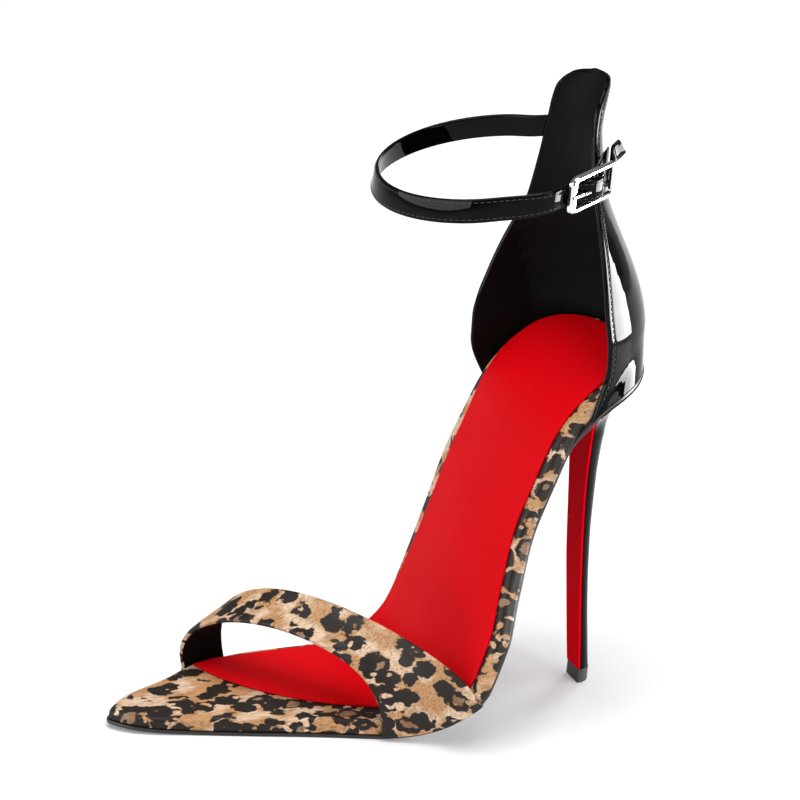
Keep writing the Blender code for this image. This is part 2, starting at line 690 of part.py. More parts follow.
def make_buckle_strap(collar):
    """The short strap that holds the buckle: sewn to the counter, folded round the centre bar."""
    radius = CENTRE_BAR + GAP + CARRIER_THICKNESS / 2
    middle = BUCKLE_LENGTH / 2
    under = strap_outs()[0] - STRAP_THICKNESS / 2 - 2 * GAP - CARRIER_THICKNESS / 2
    points = [collar.lift(plan) for plan in along(collar.outer, np.array([0.72, 0.82, 0.92]))]
    points.append(collar.at_buckle(BUCKLE_LENGTH - 2 * MM, under - 3 * GAP - CARRIER_THICKNESS))
    for turn in np.radians(np.arange(-90, 91, 30)):
        points.append(collar.at_buckle(middle - radius * cos(turn), radius * sin(turn) - CENTRE_BAR_INSET))
    points.append(collar.at_buckle(BUCKLE_LENGTH - 2 * MM, under - GAP))
    points.append(collar.at_buckle(BUCKLE_LENGTH + 1 * MM, under - GAP))
    look = material("buckle_strap", (0.006, 0.006, 0.007), 0.1)
    band("buckle_strap", spline(points, 54), CARRIER_HEIGHT, CARRIER_THICKNESS, 0.0, look)


def make_buckle(collar):
    steel = material("buckle_frame", (0.62, 0.62, 0.64), 0.12, 1.0)
    corner = 1.3 * MM
    half = BUCKLE_HEIGHT / 2
    ring = []
    for middle, up, first in ((BUCKLE_LENGTH - corner, half - corner, 0), (corner, half - corner, 90),
                              (corner, corner - half, 180), (BUCKLE_LENGTH - corner, corner - half, 270)):
        for turn in np.radians(np.linspace(first, first + 90, 4)):
            ring.append(collar.at_buckle(middle + corner * cos(turn), 0.0, up + corner * sin(turn)))
    frame = tube("buckle_frame", ring, BUCKLE_BAR, True, steel)
    ends = [collar.at_buckle(BUCKLE_LENGTH / 2, -CENTRE_BAR_INSET, up) for up in (-half, half)]
    bar = tube("centre_bar", ends, CENTRE_BAR, False, steel)
    bpy.data.collections["high_heel_sandal"].objects.unlink(bar)
    bpy.data.collections["cutters"].objects.link(bar)
    bar.hide_render = True
    bar.display_type = "WIRE"
    join = frame.modifiers.new("centre_bar", "BOOLEAN")
    join.operation = "UNION"
    join.solver = "EXACT"
    join.object = bar


def make_prong(collar):
    """The prong stands out of the strap's hole and rests on the front bar."""
    rest = BUCKLE_BAR + GAP + PRONG_RADIUS
    middle = BUCKLE_LENGTH / 2
    points = [collar.at_buckle(back, out) for back, out in (
        (0.62 * middle, rest + 0.5 * MM), (0.45 * middle, rest + 0.35 * MM), (0.2 * middle, rest + 0.1 * MM),
        (0.0, rest), (-0.15 * middle, rest - 0.1 * MM))]
    steel = material("buckle_prong", (0.62, 0.62, 0.64), 0.12, 1.0)
    tube("buckle_prong", points, PRONG_RADIUS, False, steel)


def main():
    start()
    make_outsole()
    make_footbed()
    make_sock_lining()
    make_toe_strap()
    make_counter()
    make_heel()
    make_heel_tip()
    collar = Collar()
    make_ankle_strap(collar)
    make_buckle_strap(collar)
    make_buckle(collar)
    make_prong(collar)


main()
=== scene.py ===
"""High heel sandal for the left foot, with its materials, stitches, light and camera.

Metres, +Z up. The toe points to -Y and the buckle side is +X. The origin is on the floor at the middle of the
heel's tip.
"""

from math import atan, cos, pi, radians, sin

import bmesh
import bpy
import numpy as np
from bpy.props import FloatProperty, FloatVectorProperty, PointerProperty
from mathutils import Matrix, Vector


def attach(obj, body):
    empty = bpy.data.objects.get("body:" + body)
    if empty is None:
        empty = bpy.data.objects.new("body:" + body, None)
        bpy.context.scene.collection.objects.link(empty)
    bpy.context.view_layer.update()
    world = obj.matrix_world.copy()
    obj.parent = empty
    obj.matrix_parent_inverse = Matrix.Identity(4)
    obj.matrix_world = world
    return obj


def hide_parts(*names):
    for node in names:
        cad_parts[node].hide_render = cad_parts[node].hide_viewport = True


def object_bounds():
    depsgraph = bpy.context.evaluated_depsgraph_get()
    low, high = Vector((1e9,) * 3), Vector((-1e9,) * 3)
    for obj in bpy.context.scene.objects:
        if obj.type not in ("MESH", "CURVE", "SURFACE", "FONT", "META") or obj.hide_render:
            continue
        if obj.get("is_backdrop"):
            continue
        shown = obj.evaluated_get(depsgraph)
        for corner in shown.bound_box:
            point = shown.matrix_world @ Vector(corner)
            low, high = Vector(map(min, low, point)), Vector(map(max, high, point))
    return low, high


bl_info = {
    "name": "High heel sandal",
    "version": (1, 0, 0),
    "blender": (4, 5, 0),
    "location": "View3D > Sidebar > Sandal",
    "description": "Builds a high heel sandal with an ankle strap, and its stage",
    "category": "Object",
}

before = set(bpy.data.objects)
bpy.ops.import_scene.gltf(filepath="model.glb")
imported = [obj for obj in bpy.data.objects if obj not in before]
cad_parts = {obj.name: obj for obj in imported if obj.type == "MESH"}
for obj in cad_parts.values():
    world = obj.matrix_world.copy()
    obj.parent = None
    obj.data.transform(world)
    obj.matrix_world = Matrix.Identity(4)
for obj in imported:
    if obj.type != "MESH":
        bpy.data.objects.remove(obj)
BOX_AT_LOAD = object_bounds()

MM = 0.001
GAP = 0.3 * MM

# The sole: lengths run along its underside from the toe's point to the back of the seat.
SOLE_LENGTH = 242.5 * MM
BALL_WIDTH = 75.0 * MM
HEEL_HEIGHT = 119.1 * MM
SEAT_BACK = 6.6 * MM
TOE_SPRING = radians(5.0)
SEAT_PITCH = radians(17.9)
SPRING_END = 0.161  # the bends along the sole, as shares of its length
SHANK_START = 0.308
SHANK_REACH = 0.2165
SEAT_START = 0.789
SEAT_REACH = 0.1815
THIN_END = 0.186
TOE_ROUND = 7.0 * MM
SEAT_ROUND = 19.0 * MM
OUTSOLE_THICKNESS = 1.2 * MM
OUTSOLE_MARGIN = 0.5 * MM
FOOTBED_THICKNESS = 4.9 * MM
FOOTBED_EDGE = 1.8 * MM
TOE_THINNING = 1.7 * MM
SOCK_THICKNESS = 0.9 * MM
SOCK_MARGIN = 2.8 * MM
WAIST_RECESS = 1.5 * MM
WAIST_START = 0.42  # where the outsole draws in at the waist, as shares of the sole's length
WAIST_REACH = 0.1
FOOTBED_UP = OUTSOLE_THICKNESS + GAP
FOOTBED_TOP = FOOTBED_UP + FOOTBED_THICKNESS
STATION_STEP = 1.5 * MM

# The heel.
TIP_HEIGHT = 5.0 * MM
BREAST_THICKNESS = 0.8 * MM
HEEL_WIDTH = 8.4 * MM
HEEL_DEPTH = 5.3 * MM
HEEL_FLARE = 1.7  # how late the heel widens into its seat
BREAST_LINE = 0.884  # where the heel's front meets the sole, as a share of the sole's length

# The counter and the toe strap.
COUNTER_HEIGHT = 86.9 * MM
COUNTER_WALL = 1.8 * MM
COUNTER_CLEARANCE = 0.8 * MM
TOE_STRAP_WALL = 1.6 * MM
EDGE_SINK = 0.05 * MM  # how deep the counter's stitches lie in its face
FOOTBED_LENGTH = SOLE_LENGTH - COUNTER_WALL - COUNTER_CLEARANCE
# Where the counter starts along the sole's edge, and how far ahead the outsole widens for it, as shares of
# the sole's length.
WING_FRONTS = {"outer": 0.872, "inner": 0.818}
WING_REACH = 0.05

# The ankle strap and the buckle.
LOOP_WIDTH = 68.8 * MM
LOOP_LENGTH = 69.4 * MM
LOOP_SLOPE = 0.19
LOOP_ACROSS = 0.62  # the loop's middle from the strap's start, as shares of its half sizes
LOOP_AHEAD = 0.853
BUCKLE_ACROSS = 1.067  # the front bar from the loop's middle, as shares of its half sizes
BUCKLE_BACK = 0.34
BUCKLE_TURN = radians(20.5)
STRAP_LEAN = radians(8)
TIP_POINT = 14  # the point of the strap's line on the counter that its free end lies off
STRAP_TIP = ((3.9 * MM, 0.2 * MM, 1.1 * MM), (3.2 * MM, 2.6 * MM, 2.4 * MM))
NARROW_START = 0.72  # where the strap narrows for the buckle and at its tip, as shares of its length
NARROW_REACH = 0.06
TIP_START = 0.965
TIP_REACH = 0.035
TIP_NARROWING = 0.15
LEAN_END = 0.12  # where its lean at both ends gives way to an upright stretch
LEAN_START = 0.6
LEAN_REACH = 0.15
STRAP_HEIGHT = 7.5 * MM
STRAP_IN_BUCKLE = 6.8 * MM
STRAP_THICKNESS = 1.4 * MM
STRAP_AT = 0.735  # its height on the counter, as a share of the counter's
STRAP_STARTS = (0.45, 0.65, 0.85)  # its points on the counter's inner side, as shares to the edge
LOOP_TURNS = (-48, 176, 14)  # degrees round the loop: from, to and step
STRAP_BEND = 1.2 * MM
BUCKLE_APPROACH = 6.0 * MM
BUCKLE_LENGTH = 17.1 * MM
BUCKLE_BAR = 0.95 * MM
BUCKLE_HEIGHT = STRAP_IN_BUCKLE + 4 * GAP + 2 * BUCKLE_BAR
BUCKLE_CORNER = 1.3 * MM
CENTRE_BAR = 0.8 * MM
CENTRE_BAR_INSET = 1.2 * MM
PRONG_RADIUS = 0.5 * MM
CARRIER_HEIGHT = 6.2 * MM
CARRIER_THICKNESS = 0.7 * MM
CARRIER_STARTS = (0.72, 0.82, 0.92)  # its points on the counter's outer side, as shares to the edge

# The camera, at the photograph's angle to the shoe.
CAMERA_AZIMUTH = radians(65.298)
CAMERA_ELEVATION = radians(21.542)
CAMERA_ROLL = radians(5.154)
CAMERA_DISTANCE = 1117.852 * MM
CAMERA_TARGET = Vector((44.827, -95.626, 125.371)) * MM
CAMERA_LENS = 166.46  # for a sensor 36 mm wide


def table(columns, *rows):
    """A table's columns by name, given its rows."""
    return dict(zip(columns.split(), np.array(rows, dtype=float).T))


# Half widths on each side of the sole's middle line, as shares of the ball's width.
OUTLINE = table(
    "share lateral medial",
    (0.000, 0.020, 0.067),
    (0.050, 0.087, 0.187),
    (0.100, 0.131, 0.267),
    (0.170, 0.194, 0.387),
    (0.260, 0.274, 0.434),
    (0.359, 0.380, 0.440),
    (0.441, 0.514, 0.414),
    (0.500, 0.600, 0.387),
    (0.561, 0.586, 0.398),
    (0.631, 0.494, 0.420),
    (0.722, 0.400, 0.453),
    (0.808, 0.394, 0.434),
    (0.900, 0.380, 0.407),
    (1.000, 0.346, 0.387),
)
# The sock lining's own front, a point near the inner side.
SOCK_FRONT = table(
    "share lateral medial",
    (0.153, -0.335, 0.335),
    (0.158, -0.290, 0.345),
    (0.181, -0.148, 0.358),
    (0.237, 0.041, 0.375),
    (0.283, 0.143, 0.382),
    (0.352, 0.250, 0.388),
    (0.441, 0.427, 0.390),
    (0.500, 0.600, 0.390),
)
# How much further in the sock lining's inner edge lies at the waist, as a share of the ball's width.
SOCK_WAIST = table(
    "share extra",
    (0.500, 0.000),
    (0.600, 0.030),
    (0.722, 0.046),
    (0.790, 0.034),
    (0.870, 0.000),
)
# Heel sections by height: shares of the heel's height, and of the slim end's width and depth.
HEEL = table(
    "share width front back",
    (0.045, 1.02, -0.60, 0.40),
    (0.125, 1.12, -0.79, 0.15),
    (0.250, 1.19, -1.09, -0.19),
    (0.380, 1.29, -1.38, -0.45),
    (0.500, 1.33, -1.58, -0.58),
    (0.630, 1.48, -1.75, -0.58),
    (0.710, 1.76, -1.83, -0.53),
    (0.772, 2.21, -1.98, -0.45),
)
# Counter sections above the seat: shares of the counter's height and of the seat's half width.
COUNTER = table(
    "share lateral_drop medial_drop width back lateral medial rounding",
    (0.059, 0.125, 0.250, 1.033, 0.140, -0.665, -1.347, 0.76),
    (0.151, 0.091, 0.193, 1.057, 0.089, -0.685, -1.347, 0.78),
    (0.266, 0.068, 0.136, 1.050, -0.032, -0.760, -1.225, 0.81),
    (0.381, 0.045, 0.080, 0.983, -0.199, -0.800, -1.063, 0.81),
    (0.496, 0.023, 0.034, 0.867, -0.375, -0.830, -0.903, 0.61),
    (0.611, 0.000, 0.000, 0.742, -0.517, -0.862, -0.880, 0.51),
    (0.727, 0.000, 0.000, 0.634, -0.571, -0.875, -0.886, 0.51),
    (0.830, 0.000, 0.000, 0.556, -0.609, -0.868, -0.886, 0.51),
    (0.911, 0.000, 0.000, 0.508, -0.575, -0.838, -0.860, 0.51),
    (0.962, 0.000, 0.000, 0.420, -0.545, -0.755, -0.765, 0.51),
    (0.991, 0.000, 0.000, 0.300, -0.530, -0.650, -0.655, 0.51),
    (1.000, 0.000, 0.000, 0.185, -0.525, -0.580, -0.580, 0.51),
)
COUNTER_ROWS = (0.10, 0.151, 0.205, 0.266, 0.32, 0.381, 0.44, 0.496, 0.553, 0.611, 0.669, 0.727, 0.78,
                0.83, 0.873, 0.911, 0.94, 0.962, 0.98, 1.0)
COUNTER_HALF = 61  # points along each half of a row
COUNTER_MESH = (171, 110)  # points across and up in the finished piece
# The toe strap's front and rear edge: where they start and the handles of each arch.
TOE_STRAP = table(
    "share lateral medial lateral_forward lateral_rise medial_forward medial_rise",
    (0.0, 0.338, 0.138, 0.071, 0.516, 0.132, 0.420),
    (1.0, 0.480, 0.206, 0.008, 0.175, 0.187, 0.775),
)
ARCH_LEAN = 0.027  # how far each arch leans out over the sole's edge, as a share of the ball's width


def colour(name, description, value):
    return FloatVectorProperty(name=name, description=description, default=value, subtype="COLOR", size=3,
                               min=0.0, max=1.0)


def size(name, description, value):
    return FloatProperty(name=name, description=description, default=value, min=0.0, unit="LENGTH",
                         precision=5)


class SandalSizes(bpy.types.PropertyGroup):
    """Sizes that can be changed before the pieces are built."""

    blotch: size("Blotch", "Distance between the print's blotches", 8.6 * MM)
    hair: size("Hair", "Depth of the hair's relief on the print", 0.12 * MM)
    stitch_pitch: size("Stitch pitch", "Distance from one stitch to the next", 1.9 * MM)
    stitch_length: size("Stitch length", "Length of a stitch that shows", 1.45 * MM)
    stitch_width: size("Stitch width", "Thickness of the thread", 0.3 * MM)
    stitch_inset: size("Stitch inset", "Distance of the counter's stitches from its edge", 2.2 * MM)
    strap_inset: size("Strap stitch inset", "Distance of the strap's stitches from its edge", 1.1 * MM)
    trough: size("Trough", "Depth of the hollow along the stitches", 0.14 * MM)


class SandalColours(bpy.types.PropertyGroup):
    """Colours that can be changed before the pieces are built."""

    ground: colour("Ground", "Print's ground", (0.56, 0.30, 0.135))
    cream: colour("Cream", "Pale patches of the print's ground", (0.80, 0.58, 0.41))
    core: colour("Core", "Inside of the print's rosettes", (0.16, 0.07, 0.025))
    blotch: colour("Blotch", "Print's blotches", (0.016, 0.011, 0.008))
    red: colour("Lining red", "Sock lining", (0.70, 0.001, 0.005))
    lacquer: colour("Lacquer red", "Lacquer on the heel's front", (0.86, 0.001, 0.008))
    patent: colour("Patent", "Patent leather", (0.0015, 0.0015, 0.0018))
    lining: colour("Lining", "Dark linings", (0.0022, 0.002, 0.002))
    steel: colour("Steel", "Buckle", (0.78, 0.78, 0.80))
    rubber: colour("Rubber", "Heel's tip", (0.008, 0.008, 0.008))
    edge: colour("Sole edge", "Outsole and its edge", (0.012, 0.010, 0.009))
    thread: colour("Thread", "Stitches", (0.014, 0.014, 0.015))
    floor: colour("Floor", "Floor", (0.86, 0.86, 0.87))


class Value:
    """A shader socket that takes part in arithmetic."""

    def __init__(self, tree, socket):
        self.tree = tree
        self.socket = socket

    def maths(self, operation, *others):
        node = self.tree.nodes.new("ShaderNodeMath")
        node.operation = operation
        for slot, value in zip(node.inputs, (self, *others)):
            join(self.tree, slot, value)
        return Value(self.tree, node.outputs[0])

    def __add__(self, other):
        return self.maths("ADD", other)

    def __sub__(self, other):
        return self.maths("SUBTRACT", other)

    def __rsub__(self, other):
        return (self * -1.0) + other

    def __mul__(self, other):
        return self.maths("MULTIPLY", other)

    __radd__ = __add__
    __rmul__ = __mul__


def join(tree, slot, value):
    if isinstance(value, Value):
        tree.links.new(value.socket, slot)
    else:
        slot.default_value = value


class Paint:
    """A material whose shader is built node by node."""

    def __init__(self, name):
        self.look = bpy.data.materials.new(name)
        self.look.use_nodes = True
        self.tree = self.look.node_tree
        self.shader = self.tree.nodes["Principled BSDF"]

    def node(self, kind, output, settings=None, **inputs):
        node = self.tree.nodes.new(kind)
        for name, value in (settings or {}).items():
            setattr(node, name, value)
        for name, value in inputs.items():
            join(self.tree, node.inputs[name.replace("_", " ")], value)
        return Value(self.tree, node.outputs[output])

    def place(self, x=1, y=1, z=1):
        """The piece's own coordinates, multiplied along each axis."""
        where = self.node("ShaderNodeTexCoord", "Object")
        mapping = self.node("ShaderNodeMapping", "Vector", Vector=where)
        mapping.socket.node.inputs["Scale"].default_value = (x, y, z)
        return mapping

    def noise(self, where, scale, detail=2.0, output="Fac"):
        return self.node("ShaderNodeTexNoise", output, Vector=where, Scale=scale, Detail=detail)

    def cells(self, where, scale, output):
        return self.node("ShaderNodeTexVoronoi", output, Vector=where, Scale=scale)

    def between(self, value, low, high, to_low=0.0, to_high=1.0):
        """A smooth change from to_low to to_high while the value goes from low to high."""
        ramp = self.tree.nodes.new("ShaderNodeMapRange")
        ramp.interpolation_type = "SMOOTHSTEP"
        for slot, part in zip(ramp.inputs, (value, low, high, to_low, to_high)):
            join(self.tree, slot, part)
        return Value(self.tree, ramp.outputs[0])

    def mix(self, factor, first, second):
        node = self.tree.nodes.new("ShaderNodeMix")
        node.data_type = "RGBA"
        join(self.tree, node.inputs["Factor"], factor)
        for slot, value in zip((node.inputs[6], node.inputs[7]), (first, second)):
            join(self.tree, slot, value if isinstance(value, Value) else (*value, 1.0))
        return Value(self.tree, node.outputs[2])

    def relief(self, height, depth, strength):
        bump = self.node("ShaderNodeBump", "Normal", Height=height, Distance=depth, Strength=strength)
        self.set("Normal", bump)
        return bump

    def set(self, name, value):
        slot = self.shader.inputs[name]
        if slot.type == "RGBA" and not isinstance(value, Value):
            value = (*value, 1.0)
        join(self.tree, slot, value)


def leopard(name, sizes, colours):
    """Short hair printed with rosettes."""
    paint = Paint(name)
    where = paint.place(1.45 / sizes.blotch, 1.05 / sizes.blotch, 1.45 / sizes.blotch)
    shift = paint.tree.nodes.new("ShaderNodeVectorMath")
    shift.operation = "MULTIPLY_ADD"
    join(paint.tree, shift.inputs[0], paint.noise(where, 1.3, 2.0, "Color"))
    shift.inputs[1].default_value = (0.9, 0.9, 0.9)
    join(paint.tree, shift.inputs[2], where)
    bent = Value(paint.tree, shift.outputs[0])
    distance = paint.cells(bent, 1.0, "Distance")
    chance = paint.node("ShaderNodeSeparateColor", 0, Color=paint.cells(bent, 1.0, "Color"))
    ragged = distance + (paint.noise(where, 3.4, 2.0) - 0.5) * 0.34
    reach = chance * 0.1 + 0.515
    blot = 1.0 - paint.between(ragged - reach, -0.03, 0.04)
    heart = (1.0 - paint.between(ragged - reach * 0.45, -0.03, 0.04)) * paint.between(chance, 0.62, 0.66)
    gap = paint.between(paint.noise(where, 1.7, 1.0), 0.63, 0.67)
    dark = blot * (1.0 - heart) * (1.0 - gap)
    pale = paint.between(paint.noise(where, 0.75, 2.0), 0.42, 0.62)
    ground = paint.mix(pale, colours.ground, colours.cream)
    ground = paint.mix(heart * 0.75, ground, colours.core)
    hair = paint.noise(paint.place(2600, 260, 1300), 1.0, 3.0)
    ground = paint.mix(paint.between(hair, 0.38, 0.72, 0.0, 0.6), ground, colours.core)
    paint.set("Base Color", paint.mix(dark, ground, colours.blotch))
    paint.set("Roughness", paint.between(hair, 0.3, 0.7, 0.38, 0.6))
    paint.set("Specular IOR Level", 0.22)
    paint.relief(hair, sizes.hair, 0.7)
    return paint.look


def leather(name, tone, roughness, grain, depth, shine=0.5):
    """Plain leather with a fine grain."""
    paint = Paint(name)
    cell = paint.cells(paint.place(), grain, "Distance")
    cloud = paint.noise(paint.place(), 45.0, 3.0)
    shade = paint.between(cloud, 0.3, 0.75, 0.0, 0.16)
    paint.set("Base Color", paint.mix(shade, tone, [0.7 * part for part in tone]))
    paint.set("Roughness", paint.between(cloud, 0.3, 0.7, roughness - 0.04, roughness + 0.05))
    paint.set("Specular IOR Level", shine)
    paint.relief(cell, depth, 0.6)
    return paint.look


def gloss(name, tone, ripple, coat=1.0, roughness=0.06):
    """Patent leather or lacquer: a clear mirror coat with a faint ripple."""
    paint = Paint(name)
    wave = paint.noise(paint.place(), 55.0, 1.0)
    paint.set("Base Color", tone)
    paint.set("Roughness", paint.between(wave, 0.3, 0.7, roughness, roughness + 0.05))
    paint.set("Specular IOR Level", 0.0)
    paint.set("Coat Weight", coat)
    paint.set("Coat Roughness", 0.02)
    paint.set("Coat IOR", 1.2)
    paint.set("Coat Normal", paint.relief(wave, ripple, 0.5))
    return paint.look


def metal(name, tone):
    paint = Paint(name)
    brushed = paint.noise(paint.place(900, 900, 2600), 1.0, 2.0)
    paint.set("Base Color", tone)
    paint.set("Metallic", 1.0)
    paint.set("Roughness", paint.between(brushed, 0.3, 0.7, 0.06, 0.16))
    paint.relief(brushed, 0.004 * MM, 0.3)
    return paint.look


def look(name):
    """A material by name, made when a piece first asks for it."""
    made = bpy.data.materials.get(name)
    if made:
        return made
    sizes = bpy.context.scene.sandal_sizes
    tones = bpy.context.scene.sandal_colours
    makers = {
        "leopard_hair": lambda: leopard(name, sizes, tones),
        "red_lining_leather": lambda: leather(name, tones.red, 0.45, 1500.0, 0.04 * MM, 0.03),
        "dark_lining_leather": lambda: leather(name, tones.lining, 0.6, 1500.0, 0.06 * MM, 0.08),
        "sole_edge_leather": lambda: leather(name, tones.edge, 0.4, 1100.0, 0.04 * MM),
        "patent_leather": lambda: gloss(name, tones.patent, 0.06 * MM),
        "red_lacquer_coat": lambda: gloss(name, tones.lacquer, 0.02 * MM, 0.05, 0.35),
        "polished_steel": lambda: metal(name, tones.steel),
        "tip_rubber": lambda: leather(name, tones.rubber, 0.5, 2200.0, 0.03 * MM),
        "black_thread": lambda: leather(name, tones.thread, 0.45, 3500.0, 0.05 * MM),
    }
    return makers[name]()


def smooth(value):
    value = np.clip(value, 0.0, 1.0)
    return value * value * (3.0 - 2.0 * value)


def read(rows, column, at):
    """A column's value at places along the table's shares, by a smooth curve that never overshoots."""
    share = rows["share"]
    value = rows[column]
    step = np.diff(share)
    rate = np.diff(value) / step
    slope = np.concatenate([rate[:1], np.zeros(len(rate) - 1), rate[-1:]])
    same_way = rate[:-1] * rate[1:] > 0
    slope[1:-1][same_way] = 2 * rate[:-1][same_way] * rate[1:][same_way] / (rate[:-1] + rate[1:])[same_way]
    at = np.clip(at, share[0], share[-1])
    i = np.clip(np.searchsorted(share, at) - 1, 0, len(step) - 1)
    t = (at - share[i]) / step[i]
    rise = smooth(t)
    return (value[i] * (1 - rise) + value[i + 1] * rise
            + step[i] * t * (1 - t) * (slope[i] * (1 - t) - slope[i + 1] * t))


def spline(points, count):
    """Evenly spaced points on a smooth curve through the given ones."""
    points = np.array(points, dtype=float)
    knots = lengths_of(points)
    pull = np.gradient(points, knots, axis=0)
    t = np.linspace(0, knots[-1], 24 * len(points))
    i = np.clip(np.searchsorted(knots, t) - 1, 0, len(knots) - 2)
    step = (knots[i + 1] - knots[i])[:, None]
    u = (t[:, None] - knots[i][:, None]) / step
    blend = smooth(u)
    curve = (points[i] * (1 - blend) + points[i + 1] * blend
             + step * u * (1 - u) * (pull[i] * (1 - u) - pull[i + 1] * u))
    return along(curve, np.linspace(0, 1, count))


def lengths_of(points):
    return np.concatenate([[0.0], np.cumsum(np.linalg.norm(np.diff(points, axis=0), axis=1))])


def along(points, shares):
    """Points at shares of a polyline's length."""
    run = lengths_of(points)
    return np.stack([np.interp(shares * run[-1], run, column) for column in points.T], axis=-1)


def drawn(points):
    """A fine curve through points that never overshoots them."""
    run = lengths_of(points)
    rows = {"share": run / run[-1], **dict(zip("xyz", points.T))}
    return np.column_stack([read(rows, axis, np.linspace(0, 1, 500)) for axis in "xyz"])


def profile(shank):
    """Length, slope, Y and Z along the underside for a shank of that slope."""
    share = np.linspace(0, 1, 486)
    spring = -TOE_SPRING * (1 - smooth(share / SPRING_END))
    rise = shank * smooth((share - SHANK_START) / SHANK_REACH)
    seat = (shank - SEAT_PITCH) * smooth((share - SEAT_START) / SEAT_REACH)
    slope = spring + rise - seat
    step = SOLE_LENGTH * share[1]
    y = np.concatenate([[0.0], np.cumsum((np.cos(slope[1:]) + np.cos(slope[:-1])) / 2 * step)])
    z = np.concatenate([[0.0], np.cumsum((np.sin(slope[1:]) + np.sin(slope[:-1])) / 2 * step)])
    return share * SOLE_LENGTH, slope, y - y[-1] + SEAT_BACK, z - z.min()


def solved_profile():
    """The profile whose seat is at the heel's height."""
    low, high = radians(20), radians(88)
    for _ in range(40):
        middle = (low + high) / 2
        if profile(middle)[3][-1] < HEEL_HEIGHT:
            low = middle
        else:
            high = middle
    return profile(middle)


LENGTHS, SLOPES, ALONG, RISE = solved_profile()


def place(length, across, up):
    """Points at a length along the underside, a distance across it and a height above it."""
    length, across, up = np.broadcast_arrays(*(np.asarray(v, dtype=float) for v in (length, across, up)))
    past = length - np.clip(length, 0, SOLE_LENGTH)
    slope = np.interp(length, LENGTHS, SLOPES)
    y = np.interp(length, LENGTHS, ALONG) + past * np.cos(slope) - up * np.sin(slope)
    z = np.interp(length, LENGTHS, RISE) + past * np.sin(slope) + up * np.cos(slope)
    return np.stack([across, y, z], axis=-1)


def rounding(distance, reach):
    """How far a rounded end has opened at a distance from it."""
    return np.sqrt(1 - (1 - np.clip(distance / reach, 0, 1)) ** 2)


def sides(length):
    """X of the outline's outer and inner side."""
    outer = read(OUTLINE, "lateral", length / SOLE_LENGTH) * BALL_WIDTH
    inner = -read(OUTLINE, "medial", length / SOLE_LENGTH) * BALL_WIDTH
    half = (outer - inner) / 2 * rounding(length, TOE_ROUND) * rounding(FOOTBED_LENGTH - length, SEAT_ROUND)
    return (outer + inner) / 2 + half, (outer + inner) / 2 - half


def stations(start, end, start_round, end_round, step, turns=14):
    """Lengths from one rounded end to the other, closer together where the ends turn."""
    turn = 1 - np.cos(np.linspace(0, pi / 2, turns))
    count = max(2, round((end - start - start_round - end_round) / step))
    middle = np.linspace(start + start_round, end - end_round, count + 1)
    return np.concatenate([start + start_round * turn[:-1], middle, end - end_round * turn[-2::-1]])


STATIONS = stations(0, FOOTBED_LENGTH, TOE_ROUND, SEAT_ROUND, STATION_STEP)


def loop_of(length, outer, inner):
    """A closed loop (length, across): out along the outer side, back along the inner side."""
    across = np.concatenate([outer, inner[-2:0:-1]])
    return np.column_stack([np.concatenate([length, length[-2:0:-1]]), across])


def offset(loop, out):
    """A closed loop moved outwards, by one distance or one for each point."""
    ahead = np.roll(loop, -1, axis=0) - loop
    ahead /= np.linalg.norm(ahead, axis=1)[:, None]
    tangent = ahead + np.roll(ahead, 1, axis=0)
    tangent /= np.linalg.norm(tangent, axis=1)[:, None]
    outward = np.stack([-tangent[:, 1], tangent[:, 0]], axis=-1)
    return loop + outward * np.broadcast_to(out, len(loop))[:, None]


RIM = loop_of(STATIONS, *sides(STATIONS))


def rim_side(side, out):
    """One side of the sole's outline moved outwards, toe to seat."""
    rim = offset(RIM, out)
    count = len(STATIONS)
    return rim[:count] if side == "outer" else np.concatenate([rim[:1], rim[:count - 2:-1]])


def across_at(side, out, length):
    """X of one side of the sole's outline, moved outwards, at lengths along it."""
    rim = rim_side(side, out)
    return np.interp(length, rim[:, 0], rim[:, 1])


def placed(name, data):
    """An object in the scene for a mesh, a lamp or a camera."""
    item = bpy.data.objects.new(name, data)
    bpy.context.scene.collection.objects.link(item)
    return item


def finished(name, mesh, *looks, angle=35):
    """A piece from a mesh, its faces pointing out."""
    work = bmesh.new()
    work.from_mesh(mesh)
    bmesh.ops.recalc_face_normals(work, faces=work.faces)
    if work.calc_volume(signed=True) < 0:
        bmesh.ops.reverse_faces(work, faces=work.faces)
    work.to_mesh(mesh)
    work.free()
    mesh.shade_smooth()
    mesh.set_sharp_from_angle(angle=radians(angle))
    for surface in looks:
        mesh.materials.append(look(surface))
    return placed(name, mesh)


def stand_for(piece, node):
    """The piece rides on the part's body in place of a CAD node."""
    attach(piece, "root")
    if node:
        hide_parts(node)


def lofted(rings, closed=False, inside=None):
    """Points, faces and material numbers of a skin through rings; open ends are closed across."""
    count = len(rings[0])
    faces, looks = [], []
    total = len(rings)
    for row in range(total if closed else total - 1):
        first, second = row * count, (row + 1) % total * count
        for i in range(count):
            j = (i + 1) % count
            faces.append((first + i, first + j, second + j, second + i))
            looks.append(1 if inside is not None and inside[i] and inside[j] else 0)
    for first in () if closed else (0, (total - 1) * count):
        for i in range(count // 2):
            corners = (i, i + 1, (count - i - 1) % count, (count - i) % count)
            kept = list(dict.fromkeys(corners))
            if len(kept) > 2:
                faces.append([first + c for c in kept])
                looks.append(0)
    return np.concatenate(rings), faces, looks


def loft(name, rings, *looks, closed=False, inside=None, angle=35, more=()):
    """A piece through rings, with further closed skins added to its mesh."""
    points, faces, numbers = lofted(rings, closed, inside)
    points, faces = list(points), list(faces)
    for extra in more:
        other, others, added = lofted(extra)
        faces += [[len(points) + c for c in face] for face in others]
        points += list(other)
        numbers += added
    mesh = bpy.data.meshes.new(name)
    mesh.from_pydata([tuple(p) for p in points], [], faces)
    mesh.polygons.foreach_set("material_index", numbers)
    return finished(name, mesh, *looks, angle=angle)


